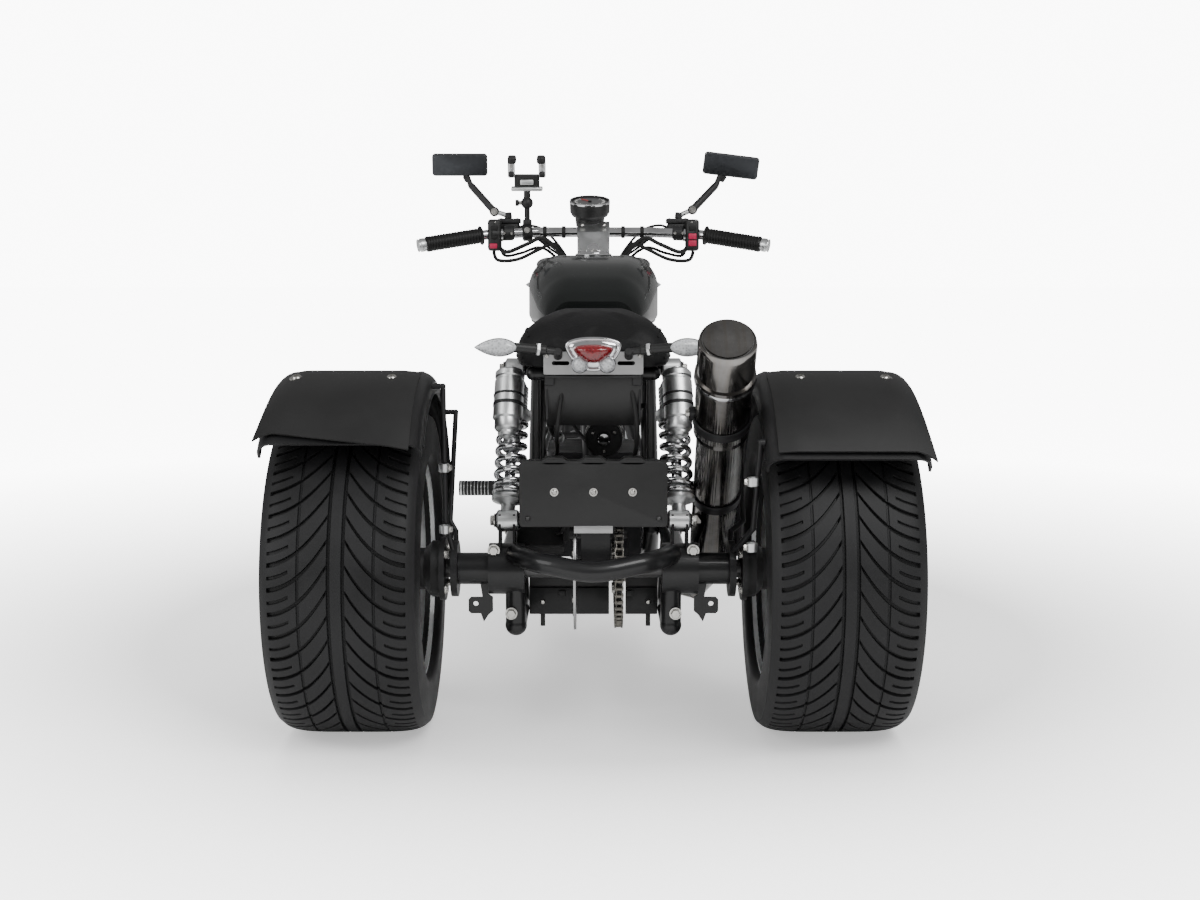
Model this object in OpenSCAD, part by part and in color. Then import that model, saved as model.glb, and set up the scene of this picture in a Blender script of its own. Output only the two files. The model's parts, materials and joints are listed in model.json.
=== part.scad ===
// Three-wheeled motor vehicle: one steered front wheel, a live rear axle with two wide wheels.
// The front faces -Y, the rider's left is +X, and the floor is at z = 0.

/* [Wheels] */
// Distance between the front and rear axles
wheelbase = 1430; // [1300:10:1600]
// Outside diameter of the rear tyres
rear_tyre_d = 530; // [480:5:600]
// Width of each rear tyre
rear_tyre_w = 236; // [190:2:260]
// Diameter of the rear rims where the tyre seats
rear_rim_d = 356; // [300:2:400]
// Distance between the middle planes of the rear tyres
rear_track = 764; // [720:2:920]
// Outside diameter of the front tyre
front_tyre_d = 490; // [440:5:560]
// Width of the front tyre
front_tyre_w = 126; // [100:2:140]
// Diameter of the front rim where the tyre seats
front_rim_d = 306; // [260:2:360]

/* [Steering] */
// Angle of the steering axis from the vertical
rake = 32; // [26:1:36]
// Distance from the steering axis forward to the front axle
fork_offset = 35; // [25:1:45]
// Distance between the middles of the two fork legs
fork_spread = 204; // [190:2:240]
// Overall width of the handlebar
bar_w = 736; // [640:4:820]
// Diameter of the handlebar tube
bar_d = 22; // [20:1:26]

/* [Fenders] */
// Gap between a rear tyre's tread and the inside of its fender
fender_gap = 54; // [30:1:70]
// Thickness of the fender skins
fender_t = 4; // [3:0.5:6]
// How far each rear fender stands past its tyre on each side
fender_lap = 4; // [2:1:12]
// Angle of the left fender's rear edge behind the vertical
left_fender_end = 44; // [35:1:55]
// Angle of the right fender's rear edge behind the vertical
right_fender_end = 49; // [35:1:58]

/* [Body] */
// Width of the fuel tank
tank_w = 270; // [230:2:300]
// Height of the fuel tank's top above the floor
tank_top = 780; // [760:2:800]
// Width of the seat
seat_w = 236; // [200:2:260]
// Height of the seat's top at its rear edge
seat_top = 672; // [655:1:690]
// Width of the rear panel
panel_w = 235; // [180:5:250]
// Diameter of the muffler at its middle
muffler_d = 88; // [76:2:96]
// Outside diameter of the shock absorber springs
spring_d = 54; // [46:1:60]

/* [Hidden] */
$fn = 64;

rear_r = rear_tyre_d / 2;
front_r = front_tyre_d / 2;
rear_y = (wheelbase + front_r - rear_r) / 2;
front_y = rear_y - wheelbase;
wheel_x = rear_track / 2;
seat_gap = 0.3;          // rest gap between pieces that seat on each other
fit = 0.05;              // radial clearance of the steering bearing

function add(a, b) = [a[0] + b[0], a[1] + b[1], a[2] + b[2]];
function sub(a, b) = [a[0] - b[0], a[1] - b[1], a[2] - b[2]];
// Rear axle's own point: dy behind the axle, z above the floor
function from_axle(x, dy, z) = [x, rear_y + dy, z];
// A rounded tyre section: a superellipse of n points about its middle radius
function tyre_outline(r_in, r_out, w, p, n = 40) = [
    for (i = [0:n - 1]) let (t = (i + 0.5) * 360 / n)
        [(r_in + r_out) / 2 + (r_out - r_in) / 2 * sign(sin(t)) * pow(abs(sin(t)), p),
         w / 2 * sign(cos(t)) * pow(abs(cos(t)), p)]];

// Straight round bar from a to b
module rod(a, b, r) {
    d = sub(b, a);
    l = norm(d);
    translate(a) rotate([0, acos(d[2] / l), atan2(d[1], d[0])]) cylinder(r = r, h = l);
}
// Tube through a list of points, with a ball slightly wider than the tube at each elbow
elbow = 1.05;
function unit(v) = v / norm(v);
// Ball at a bend, turned so that its seam runs down the outside of the bend, clear of both tubes
module elbow_ball(before, at, after, r) {
    u = unit(at - before);
    v = unit(after - at);
    n = unit(cross(u, v));
    x = unit(u - v);
    y = cross(n, x);
    multmatrix([[x[0], y[0], n[0], at[0]], [x[1], y[1], n[1], at[1]], [x[2], y[2], n[2], at[2]], [0, 0, 0, 1]])
        sphere(r = r * elbow);
}
module tube_run(points, r) {
    for (i = [0:len(points) - 2]) rod(points[i], points[i + 1], r);
    for (i = [1:1:len(points) - 2]) elbow_ball(points[i - 1], points[i], points[i + 1], r);
}
// Round body along X from x0 to x1
module disc_x(x0, x1, r) {
    translate([x0, 0, 0]) rotate([0, 90, 0]) cylinder(r = r, h = x1 - x0);
}
module at_rear_axle() { translate([0, rear_y, rear_r]) children(); }
module at_front_axle() { translate([0, front_y, front_r]) children(); }
// Frame of the fork: z runs up the steering direction and the axle is at its origin
module on_fork() { at_front_axle() rotate([-rake, 0, 0]) children(); }
module both_sides() { children(); mirror([1, 0, 0]) children(); }
module box_at(lo, hi) { translate(lo) cube(sub(hi, lo)); }
// Plate in the YZ plane from a list of [y, z] points, thickness t from x
module side_plate(x, t, points) {
    translate([x, 0, 0]) rotate([90, 0, 90]) linear_extrude(t) polygon(points);
}
// Rounded bar: an extruded rectangle with rounded corners, upwards from z = 0
module round_box(size, r) {
    linear_extrude(size[2]) rounded_rect(size[0], size[1], r);
}
module rounded_rect(w, h, r) {
    union() {
        square([w - 2 * r, h], center = true);
        square([w, h - 2 * r], center = true);
        for (sx = [-1, 1], sy = [-1, 1])
            translate([sx * (w / 2 - r), sy * (h / 2 - r)]) circle(r = r);
    }
}

// ---------------------------------------------------------------- frame
head_low = 452;          // ends of the steering head along the fork direction
head_high = 578;
head_r = 27;
stem_r = 15;
main_r = 21;
rail_r = 15;
rail_x = 110;
back_z = 575;            // backbone's height at its rear end
back_y = rear_y - 430;
rail_z = 190;
function fork_point(x, y, z) = [x,
    front_y + y * cos(rake) + z * sin(rake), front_r - y * sin(rake) + z * cos(rake)];
head_mid = fork_point(0, fork_offset, (head_low + head_high) / 2 - 20);
pivot = from_axle(0, -395, 268);

module main_frame() color("#1a1a1b") {
    difference() {
        union() {
            on_fork() translate([0, fork_offset, head_low])
                cylinder(r = head_r, h = head_high - head_low);
            rod(head_mid, [0, back_y, back_z], main_r);
            rod([0, back_y, back_z], [0, back_y + 60, pivot[2]], main_r);
            translate([0, back_y, back_z]) sphere(r = main_r * elbow);
            for (y = [tank_front + 90, tank_back - 90])
                box_at([-60, y - 14, 618], [60, y + 14, tank_low - seat_gap]);
            translate([0, back_y + 60, pivot[2]]) disc_x(-rail_x + rail_r + 4, rail_x - rail_r - 4, 19);
        }
        on_fork() translate([0, fork_offset, head_low - 1])
            cylinder(r = stem_r + fit, h = head_high - head_low + 2);
    }
}
down_route = [fork_point(14, 50, head_low + 40), fork_point(42, 124, head_low - 14),
    [rail_x - 8, front_y + 352, 330], [rail_x, front_y + 378, rail_z],
    [rail_x, pivot[1] - 90, rail_z], [rail_x, pivot[1], pivot[2]], from_axle(98, -300, 560)];
module down_tubes() color("#1a1a1b") both_sides() difference() {
    tube_run(down_route, rail_r);
    on_fork() translate([0, fork_offset, head_low - 60])
        cylinder(r = head_r + seat_gap, h = head_high - head_low + 60);
    rod(head_mid, [0, back_y, back_z], main_r + seat_gap);
}
seat_rail_z = 586;
seat_rail_r = 11;
seat_rail_x = 98;
shock_pin_r = 6;
shock_pin_dy = -120;
cross_r = 9;
cross_y = back_y + sqrt(pow(main_r * elbow + cross_r + seat_gap, 2) - pow(seat_rail_z - back_z, 2));
module seat_rails() color("#1a1a1b") difference() {
    union() {
        tube_run([[-seat_rail_x, cross_y - 20, seat_rail_z], from_axle(-seat_rail_x, 0, seat_rail_z),
            from_axle(seat_rail_x, 0, seat_rail_z), [seat_rail_x, cross_y - 20, seat_rail_z]], seat_rail_r);
        translate([0, cross_y, seat_rail_z]) disc_x(-seat_rail_x, seat_rail_x, cross_r);
        both_sides() translate(from_axle(0, shock_pin_dy, seat_rail_z))
            disc_x(seat_rail_x, shock_top[0] + 16, shock_pin_r);
    }
    both_sides() rod(down_route[5], along(down_route[5], down_route[6], 1.2), rail_r + seat_gap);
}
carrier_in = 112;        // bearing carrier along the axle, from here
carrier_out = 171;       // to here
carrier_r = 42;
axle_tube_r = 26;
axle_tube_out = 221;
shaft_r = 15;
tongue_x = 127;
tongue_r = 17;
tongue_z = 173;
tongue_route = [from_axle(tongue_x, 10, 240), from_axle(tongue_x, 10, tongue_z),
    from_axle(tongue_x, -150, tongue_z), from_axle(tongue_x + 14, -330, 262)];
arm_x = 141;
arm_r = 19;
eye_gap = 9.7;           // half the room between the two plates of a shock's foot
// The two plates that hold each shock's foot
module foot_plates(grow) {
    for (x = [arm_x - eye_gap - 4, arm_x + eye_gap]) side_plate(x - grow, 4 + 2 * grow,
        [[rear_y - 26 - grow, 300], [rear_y + 26 + grow, 300], [rear_y + 14 + grow, shock_foot[2] + 12 + grow],
            [rear_y - 14 - grow, shock_foot[2] + 12 + grow]]);
}
module swing_arm() color("#161617") difference() {
    both_sides() {
        at_rear_axle() {
            disc_x(carrier_in, carrier_out, carrier_r);
            disc_x(carrier_out - 1, axle_tube_out, axle_tube_r);
        }
        rod(from_axle(arm_x, -395, 268), from_axle(arm_x, -20, 265), arm_r);
        tube_run(tongue_route, tongue_r);
        translate(from_axle(0, -395, 268)) disc_x(rail_x + rail_r * elbow + seat_gap, arm_x + 24, 24);
        foot_plates(0);
        translate(shock_foot) disc_x(-eye_gap - 3, eye_gap + 3, shock_pin_r);
    }
    at_rear_axle() disc_x(-300, 300, shaft_r + seat_gap);
    both_sides() {
        translate(down_route[5]) sphere(r = rail_r * elbow + seat_gap);
        rod(down_route[4], down_route[5], rail_r + seat_gap);
        rod(down_route[5], down_route[6], rail_r + seat_gap);
    }
}
bow_r = 16.5;
bow_route = [from_axle(-126, 34, 296), from_axle(-86, 118, 296), from_axle(0, 130, 280),
    from_axle(86, 118, 296), from_axle(126, 34, 296)];
module rear_cross_tube() color("#1d1d1e") difference() {
    union() {
        tube_run(bow_route, bow_r);
        difference() {
            box_at(from_axle(-tongue_x + tongue_r + seat_gap, -115, 163),
                from_axle(tongue_x - tongue_r - seat_gap, -110, 210));
            box_at(from_axle(chain_x - chain_w, -120, 160), from_axle(chain_x + chain_w, -100, 200));
        }
        for (x = [-94, 87]) box_at(from_axle(x - 4, -114, 142), from_axle(x + 4, -111, 164));
    }
    at_rear_axle() both_sides() disc_x(carrier_in - seat_gap, carrier_out, carrier_r + seat_gap);
    both_sides() foot_plates(seat_gap);
}
tab_hole_r = 4.25;
tab_hole = [193, 208];
tab_y = 6;
module tow_tabs() color("#161617") both_sides() difference() {
    translate([0, rear_y + tab_y + 5, 0]) rotate([90, 0, 0]) linear_extrude(5) difference() {
        polygon([[168, 246], [186, 246], [182, 219], [201, 219], [205, 215], [205, 196], [201, 192],
            [185, 192], [180, 178], [172, 190], [165, 196], [165, 219], [172, 224]]);
        translate(tab_hole) circle(r = tab_hole_r);
    }
    at_rear_axle() disc_x(carrier_in, axle_tube_out + 5, axle_tube_r + seat_gap);
    at_rear_axle() disc_x(carrier_in, carrier_out + seat_gap, carrier_r + seat_gap);
}

// ---------------------------------------------------------------- engine and driveline
chain_x = -41;
chain_w = 14;
sprocket_r = 82;
chain_in = 88;
chain_out = 97;
drive_in = 24;
drive_sprocket_r = drive_in - 0.6;
drive_y = pivot[1] + 25;
engine_back = drive_y - 44;
engine_front = engine_back - 230;
cyl_r = 56;
module engine() color("#8d8f91") difference() {
    union() {
        translate([0, (engine_front + engine_back) / 2, 206])
            round_box([2 * (rail_x - rail_r - 6), engine_back - engine_front, 200], 30);
        for (y = [engine_front + 40, engine_back - 110]) both_sides()
            box_at([60, y - 18, rail_z + rail_r + seat_gap], [rail_x + 6, y + 18, rail_z + rail_r + 10]);
        box_at([-rail_x + rail_r + 6, engine_back - 60, 222], [chain_x - 22, drive_y + 20, 300]);
        translate([0, drive_y, rear_r]) {
            disc_x(chain_x - 30, chain_x + 12, 16);
            disc_x(chain_x - 5, chain_x + 5, drive_sprocket_r);
        }
    }
    rod(head_mid, [0, back_y, back_z], main_r + 3);
    rod([0, back_y, back_z], [0, back_y + 60, pivot[2]], main_r + seat_gap);
    translate([0, back_y + 60, pivot[2]]) disc_x(-rail_x, rail_x, 19 + seat_gap);
}
module cylinder_fins(n, pitch, r) {
    for (i = [0:n - 1]) translate([0, 0, i * pitch]) cylinder(r = r, h = pitch / 3);
}
cyl_root = [0, engine_front - seat_gap, 330];
module cylinder_head() color("#7d7f80") translate(cyl_root) rotate([80, 0, 0]) difference() {
    union() {
        translate([0, 0, -10]) cylinder(r = 42, h = 150);
        cylinder_fins(9, 12, cyl_r);
        translate([0, 0, 108]) round_box([112, 104, 46], 16);
    }
    rotate([-80, 0, 0]) translate([-100, 0, -100]) cube([200, 60, 200]);
}
filter_at = from_axle(-18, -150, 462);
carb_foot = 398;
pipe_x = -main_r - 21;
module air_filter() color("#151516") {
    translate(filter_at) rotate([90, 0, 0]) cylinder(r = 32, h = 52);
    tube_run([add(filter_at, [0, -51, 0]), [pipe_x, engine_back + 130, 455], [pipe_x, engine_back - 60, 445],
        [-12, engine_front - 8, 428]], 15);
    translate([0, engine_front - 31, carb_foot]) round_box([52, 60, 48], 10);
}
battery_lo = from_axle(-92, -150, 374);
battery_hi = from_axle(92, 48, 424);
module battery_box() color("#161617") difference() {
    union() {
    box_at(battery_lo, battery_hi);
    for (dy = [-148, -34]) both_sides()
        box_at(from_axle(91, dy, 400), from_axle(97, dy + 20, seat_rail_z - seat_rail_r + 4));
    }
    both_sides() rod(from_axle(seat_rail_x, -300, seat_rail_z), from_axle(seat_rail_x, 0, seat_rail_z),
        seat_rail_r + seat_gap);
}
muffler_low = from_axle(-207, -176, 260);
muffler_high = from_axle(-199, 214, 650);
function along(a, b, t) = [for (i = [0:2]) a[i] + (b[i] - a[i]) * t];
module muffler() color("#2c2a2b") {
    r = muffler_d / 2;
    rod(muffler_low, along(muffler_low, muffler_high, 0.62), r - 5.5);
    rod(along(muffler_low, muffler_high, 0.62), along(muffler_low, muffler_high, 0.86), r);
    rod(along(muffler_low, muffler_high, 0.84), along(muffler_low, muffler_high, 0.87), r + 3);
    rod(along(muffler_low, muffler_high, 0.87), along(muffler_low, muffler_high, 1.01), r - 6);
    box_at(from_axle(-180, -100, 330), from_axle(-168, -60, 344));
}
module exhaust_pipe() color("#3a3733") difference() {
    tube_run([[-20, engine_front - 118, 286], [-66, engine_front - 96, 158], [-66, pivot[1] - 90, 158],
        [-190, rear_y - 330, 158], along(muffler_low, muffler_high, -0.14),
        along(muffler_low, muffler_high, -0.001)], 15);
}
function loop_outline(r1, r2, d, n = 40) = let (a = acos((r1 - r2) / d)) concat(
    [for (i = [0:n]) let (t = a + (360 - 2 * a) * i / n) [r1 * cos(t), r1 * sin(t)]],
    [for (i = [0:n / 2]) let (t = -a + 2 * a * i * 2 / n) [d + r2 * cos(t), r2 * sin(t)]]);
module chain() color("#3b3833") at_rear_axle()
    translate([chain_x - chain_w / 2, 0, 0]) rotate([0, 90, 0]) rotate([0, 0, -90]) linear_extrude(chain_w)
        difference() {
            polygon(loop_outline(chain_out, 33, rear_y - drive_y));
            polygon(loop_outline(chain_in, drive_in, rear_y - drive_y));
        }
module sprocket() color("#8f8d88") at_rear_axle() difference() {
    union() {
        disc_x(chain_x - 4, chain_x + 4, sprocket_r);
        disc_x(chain_x - 14, chain_x + 14, 34);
    }
    disc_x(-200, 200, shaft_r + seat_gap);
    for (a = [0:60:300]) rotate([a, 0, 0]) translate([0, 54, 0]) disc_x(chain_x - 20, chain_x + 20, 13);
}
disc_pos = 30;
module rear_disc() color("#9a9b9c") at_rear_axle() difference() {
    union() {
        disc_x(disc_pos - 2, disc_pos + 2, 100);
        disc_x(disc_pos - 14, disc_pos + 14, 32);
    }
    disc_x(-200, 200, shaft_r + seat_gap);
    for (a = [0:45:315]) rotate([a, 0, 0]) translate([0, 52, 0]) disc_x(disc_pos - 9, disc_pos + 9, 12);
}
module rear_caliper() color("#2a2a2b") difference() {
    union() {
        at_rear_axle() rotate([40, 0, 0]) box_at([disc_pos - 24, -30, 68], [disc_pos + 26, 34, 120]);
        at_rear_axle() rotate([40, 0, 0]) box_at([disc_pos + 20, -14, 30], [arm_x - eye_gap - 5, 14, 96]);
    }
    at_rear_axle() {
        disc_x(disc_pos - 10, disc_pos + 10, 106);
        disc_x(-200, 200, 38);
        disc_x(carrier_in - seat_gap, carrier_out, carrier_r + seat_gap);
    }
    rod(from_axle(arm_x, -395, 268), from_axle(arm_x, -20, 265), arm_r + seat_gap);
    box_at(sub(battery_lo, [1, 1, 1]), add(battery_hi, [1, 1, 1]));
}
module axle_shaft() color("#4a4b4d") at_rear_axle() {
    disc_x(-wheel_x - 24, wheel_x + 24, shaft_r);
    both_sides() disc_x(241, 251, 52);
}

// ---------------------------------------------------------------- wheels
module wheel_section_cut(rim_r, w) {
    polygon([[0, -w / 2 - 20], [rim_r + 12, -w / 2 - 20], [rim_r + 12, -w / 2 + 16], [rim_r + seat_gap, -w / 2 + 22],
        [rim_r + seat_gap, w / 2 - 22], [rim_r + 12, w / 2 - 16], [rim_r + 12, w / 2 + 20], [0, w / 2 + 20]]);
}
module tyre(outer_r, rim_r, w, p) {
    rotate([0, 90, 0]) rotate_extrude($fn = 96) difference() {
        polygon(tyre_outline(rim_r - 6, outer_r, w, p));
        wheel_section_cut(rim_r, w);
    }
}
module rim_barrel(rim_r, w) {
    rotate([0, 90, 0]) rotate_extrude($fn = 96) polygon([[rim_r - 5, -w / 2 + 9], [rim_r + 11, -w / 2 + 9],
        [rim_r + 11, -w / 2 + 15.6], [rim_r, -w / 2 + 21.6], [rim_r, w / 2 - 21.6], [rim_r + 11, w / 2 - 15.6],
        [rim_r + 11, w / 2 - 9], [rim_r - 5, w / 2 - 9]]);
}
module rear_tyres() color("#1b1b1c") at_rear_axle()
    both_sides() translate([wheel_x, 0, 0]) tyre(rear_r, rear_rim_d / 2, rear_tyre_w, 0.42);
module rear_rims() color("#202021") at_rear_axle() both_sides() difference() {
    union() {
        translate([wheel_x, 0, 0]) rim_barrel(rear_rim_d / 2, rear_tyre_w);
        disc_x(wheel_x + 22, wheel_x + 30, rear_rim_d / 2 - 4);
        disc_x(251.3, wheel_x + 40, 46);
    }
    disc_x(0, wheel_x + 24 + seat_gap, shaft_r + seat_gap);
    for (a = [0:45:315]) rotate([a, 0, 0]) translate([0, 112, 0]) disc_x(wheel_x, wheel_x + 60, 26);
}
module front_tyre() color("#1b1b1c") at_front_axle() tyre(front_r, front_rim_d / 2, front_tyre_w, 0.6);
spokes = 5;
module front_rim() color("#b9babb") at_front_axle() difference() {
    union() {
        rim_barrel(front_rim_d / 2, front_tyre_w);
        disc_x(-46, 52, 30);
        for (i = [0:spokes - 1]) rotate([i * 360 / spokes, 0, 0])
            box_at([-14, -13, 26], [14, 13, front_rim_d / 2 - 4]);
    }
    disc_x(-80, 80, 10 + seat_gap);
}
front_disc_x = 66;
module front_disc() color("#a5a6a7") at_front_axle() difference() {
    union() {
        disc_x(front_disc_x - 2, front_disc_x + 2, 104);
        disc_x(52.3, front_disc_x - 2, 34);
    }
    disc_x(0, 80, 10 + seat_gap);
    for (a = [0:40:320]) rotate([a, 0, 0]) translate([0, 60, 0]) disc_x(front_disc_x - 9, front_disc_x + 9, 12);
}

// ---------------------------------------------------------------- fenders
fender_in = rear_r + fender_gap;
fender_r = fender_in + fender_t;
fender_x0 = wheel_x - rear_tyre_w / 2 - fender_lap - 2;
fender_x1 = wheel_x + rear_tyre_w / 2 + fender_lap;
skirt = 34;
// Half of a rounded channel: skin of thickness t under radius r, skirts down both sides
module channel_fill(r, x0, x1, corner, depth) {
    intersection() {
        union() {
            translate([r - depth, x0]) square([depth - corner, x1 - x0]);
            translate([r - depth, x0 + corner]) square([depth, x1 - x0 - 2 * corner]);
            for (x = [x0 + corner, x1 - corner]) translate([r - corner, x]) circle(r = corner);
        }
        translate([r - depth, x0]) square([depth, x1 - x0]);
    }
}
module fender_profile(r, t, x0, x1, corner, depth) {
    difference() {
        channel_fill(r, x0, x1, corner, depth);
        channel_fill(r - t, x0 + t, x1 - t, corner - t, depth);
    }
}
// Channel swept about the axle from angle a0 ahead of the vertical to a1 behind it
module arc_channel(a0, a1, r, t, x0, x1, corner, depth) {
    rotate([-a1, 0, 0]) rotate([0, 90, 0]) rotate([0, 0, 180])
        rotate_extrude(angle = a1 - a0, $fn = 128) fender_profile(r, t, x0, x1, corner, depth);
}
module fender(end) { arc_channel(end - 146, end, fender_r, fender_t, fender_x0, fender_x1, 24, skirt); }
module fender_left() color("#1d1d1e") at_rear_axle() fender(left_fender_end);
module fender_right() color("#1d1d1e") at_rear_axle() mirror([1, 0, 0]) fender(right_fender_end);
module flap(end) {
    arc_channel(end - 38, end + 0.5, fender_r + 3.5, 3, fender_x0 + 12, fender_x1 - 10, 3.05, 3.1);
}
module fender_flaps() color("#1b1b1c") at_rear_axle() {
    flap(left_fender_end);
    mirror([1, 0, 0]) flap(right_fender_end);
}
stay_r = 4.5;
stay_x = 240;
stay_hold_r = fender_r - skirt / 2;
function stay_z(dy) = rear_r + sqrt(pow(stay_hold_r, 2) - pow(dy, 2));
// Two bent rods from the hub plate to a fender's inner skirt, bent out to x on the way
module stay_pair(x, dy) {
    tube_run([from_axle(fender_x0 - seat_gap, dy, stay_z(dy)), from_axle(x, dy, stay_z(dy)),
        from_axle(x, dy / 2 + 8, 350), from_axle(227, 24, 296)], stay_r);
    tube_run([from_axle(fender_x0 - seat_gap, -190, stay_z(190)), from_axle(x, -190, stay_z(190)),
        from_axle(x, -60, 334), from_axle(230, -52, 318), from_axle(227, -24, 296)], stay_r);
}
module fender_stays() color("#151516") difference() {
    union() {
        stay_pair(stay_x, 40);
        mirror([1, 0, 0]) stay_pair(fender_x0 - 7, 200);
        at_rear_axle() both_sides() disc_x(axle_tube_out + seat_gap, 232, 46);
    }
    at_rear_axle() both_sides() disc_x(200, 250, shaft_r + 5.3);
}

// ---------------------------------------------------------------- tank, seat and tail
tank_front = rear_y - 916;
tank_back = rear_y - 448;
tank_low = 641;
module fuel_tank() color("#0d0d0e") {
    intersection() {
        translate([0, tank_back, 0]) rotate([90, 0, 0]) linear_extrude(tank_back - tank_front)
            tank_section(46);
        side_plate(-tank_w, 2 * tank_w, concat([[tank_back, 605], [tank_back, tank_top - 70]],
            [for (a = [0:10:90]) [tank_back - 90 + 90 * cos(a) - 1, tank_top - 52 + 52 * sin(a)]],
            [for (a = [0:10:80]) [tank_front + 90 - 90 * sin(a), tank_top - 66 + 66 * cos(a)]],
            [[tank_front, tank_top - 70], [tank_front + 20, tank_low]]));
        linear_extrude(1000) polygon(concat([for (s = [1, -1], t = [0:0.1:1]) let (u = s > 0 ? t : 1 - t)
            [s * (tank_w / 2 - 26 * pow(u, 2)), tank_front + 56 + (tank_back - tank_front - 40) * u]],
            [[-tank_w / 2 + 56, tank_front - 1], [tank_w / 2 - 56, tank_front - 1]]));
    }
    translate([0, tank_front + 190, tank_top - 6]) cylinder(r = 34, h = 14);
}
module tank_section(corner) {
    difference() {
        union() {
            translate([-tank_w / 2, tank_low]) square([tank_w, tank_top - tank_low - corner]);
            translate([-tank_w / 2 + corner, tank_low]) square([tank_w - 2 * corner, tank_top - tank_low]);
            for (s = [-1, 1]) translate([s * (tank_w / 2 - corner), tank_top - corner]) circle(r = corner);
        }
        translate([0, tank_low - 4]) circle(r = 30);
    }
}
seat_low = seat_rail_z + seat_rail_r + seat_gap;
seat_front = tank_back + 3;
seat_back = rear_y + 42;
module seat() color("#1c1c1c") intersection() {
    side_plate(-seat_w, 2 * seat_w, concat([[seat_front + 4, seat_low], [seat_front, seat_top + 36],
        [seat_front + 50, seat_top + 14], [seat_front + 120, seat_top - 2]],
        [for (a = [90:-15:0]) [seat_back - 26 + 26 * cos(a), seat_top - 24 + 24 * sin(a)]],
        [[seat_back - 18, seat_low]]));
    translate([0, (seat_front + seat_back) / 2, 0]) round_box([seat_w, seat_back - seat_front, 900], 40);
    translate([0, seat_back + 1, 0]) rotate([90, 0, 0]) linear_extrude(600) union() {
        translate([-seat_w / 2, 0]) square([seat_w, seat_top - 26]);
        translate([-seat_w / 2 + 26, 0]) square([seat_w - 52, seat_top + 60]);
        for (s = [-1, 1]) translate([s * (seat_w / 2 - 26), seat_top - 26]) circle(r = 26);
    }
}
bracket_y = rear_y + 52;
bracket_w = 158;
bracket_slot = 104;
slot_len = 22;
slot_r = 3;
module plate_bracket() color("#8b8c8d") difference() {
    union() {
        box_at([-bracket_w / 2, bracket_y, 588], [bracket_w / 2, bracket_y + 3, 624]);
        for (s = [-1, 1]) box_at([s * 56 - 10, seat_back - 30, 588], [s * 56 + 10, bracket_y + 1, 591]);
        for (s = [-1, 1]) box_at([s * 56 - 10, rear_y + 11.4, 575], [s * 56 + 10, rear_y + 14, 591]);
    }
    for (s = [-1, 1]) translate([s * bracket_slot / 2, bracket_y - 1, 606]) rotate([-90, 0, 0]) {
        for (e = [-1, 1]) translate([e * (slot_len / 2 - slot_r), 0, 0]) cylinder(r = slot_r, h = 5);
        translate([-slot_len / 2 + slot_r, -slot_r, 0]) cube([slot_len - 2 * slot_r, 2 * slot_r, 5]);
    }
}
module tail_light() color("#a01a1f") {
    intersection() {
        translate([0, bracket_y + 3.3, 624]) rotate([-90, 0, 0]) linear_extrude(36) difference() {
            circle(r = 46);
            translate([-50, 20]) square([100, 40]);
            translate([-50, -68]) square([100, 40]);
        }
        translate([0, bracket_y - 44, 624]) sphere(r = 86);
    }
    box_at([-20, seat_back - 1, 626], [20, bracket_y + 5, 640]);
}
signal_z = 631;
signal_in = 92;
signal_tip = 184;
module rear_signals() color("#d9dadb") both_sides() {
    rod([56, bracket_y + 3.3, 616], [56, seat_back + 28, 616], 7);
    rod([56, seat_back + 22, 618], [signal_in - 8, seat_back + 22, signal_z - 2], 5.5);
    rod([signal_in - 12, seat_back + 22, signal_z - 2], [signal_in + 10, seat_back + 22, signal_z], 11);
    translate([(signal_in + signal_tip) / 2, seat_back + 32, signal_z]) rotate([90, 0, 0])
        linear_extrude(24) intersection() {
            translate([0, -66]) circle(r = 79);
            translate([0, 66]) circle(r = 79);
        }
}
module mudguard() color("#161617") {
    h = 3;
    box_at(from_axle(-40, seat_rail_r + seat_gap, 583), from_axle(40, 47, 587));
    translate([-76, 0, 0]) rotate([90, 0, 90]) linear_extrude(152) polygon(concat(
        [for (a = [0:10:60]) [rear_y + 47 - 170 * (1 - cos(a)), 587 - 150 * sin(a)]],
        [for (a = [60:-10:0]) [rear_y + 47 - h - 170 * (1 - cos(a)), 587 - 150 * sin(a)]]));
}
panel_y = rear_y + 81;
panel_low = 348;
panel_high = 452;
module rear_panel() color("#202021") difference() {
    union() {
        box_at([-panel_w / 2, panel_y, panel_low], [panel_w / 2, panel_y + 3, panel_high]);
        box_at([-panel_w / 2, panel_y - 30, panel_high - 3], [panel_w / 2, panel_y + 1, panel_high]);
        for (s = [-1, 1]) box_at([s * 62 - 9, rear_y + 48.3, 398], [s * 62 + 9, panel_y + 1, 410]);
        box_at([-27, panel_y, 288], [20, panel_y + 3, panel_low + 1]);
    }
    tube_run(bow_route, bow_r + seat_gap);
}

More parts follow.
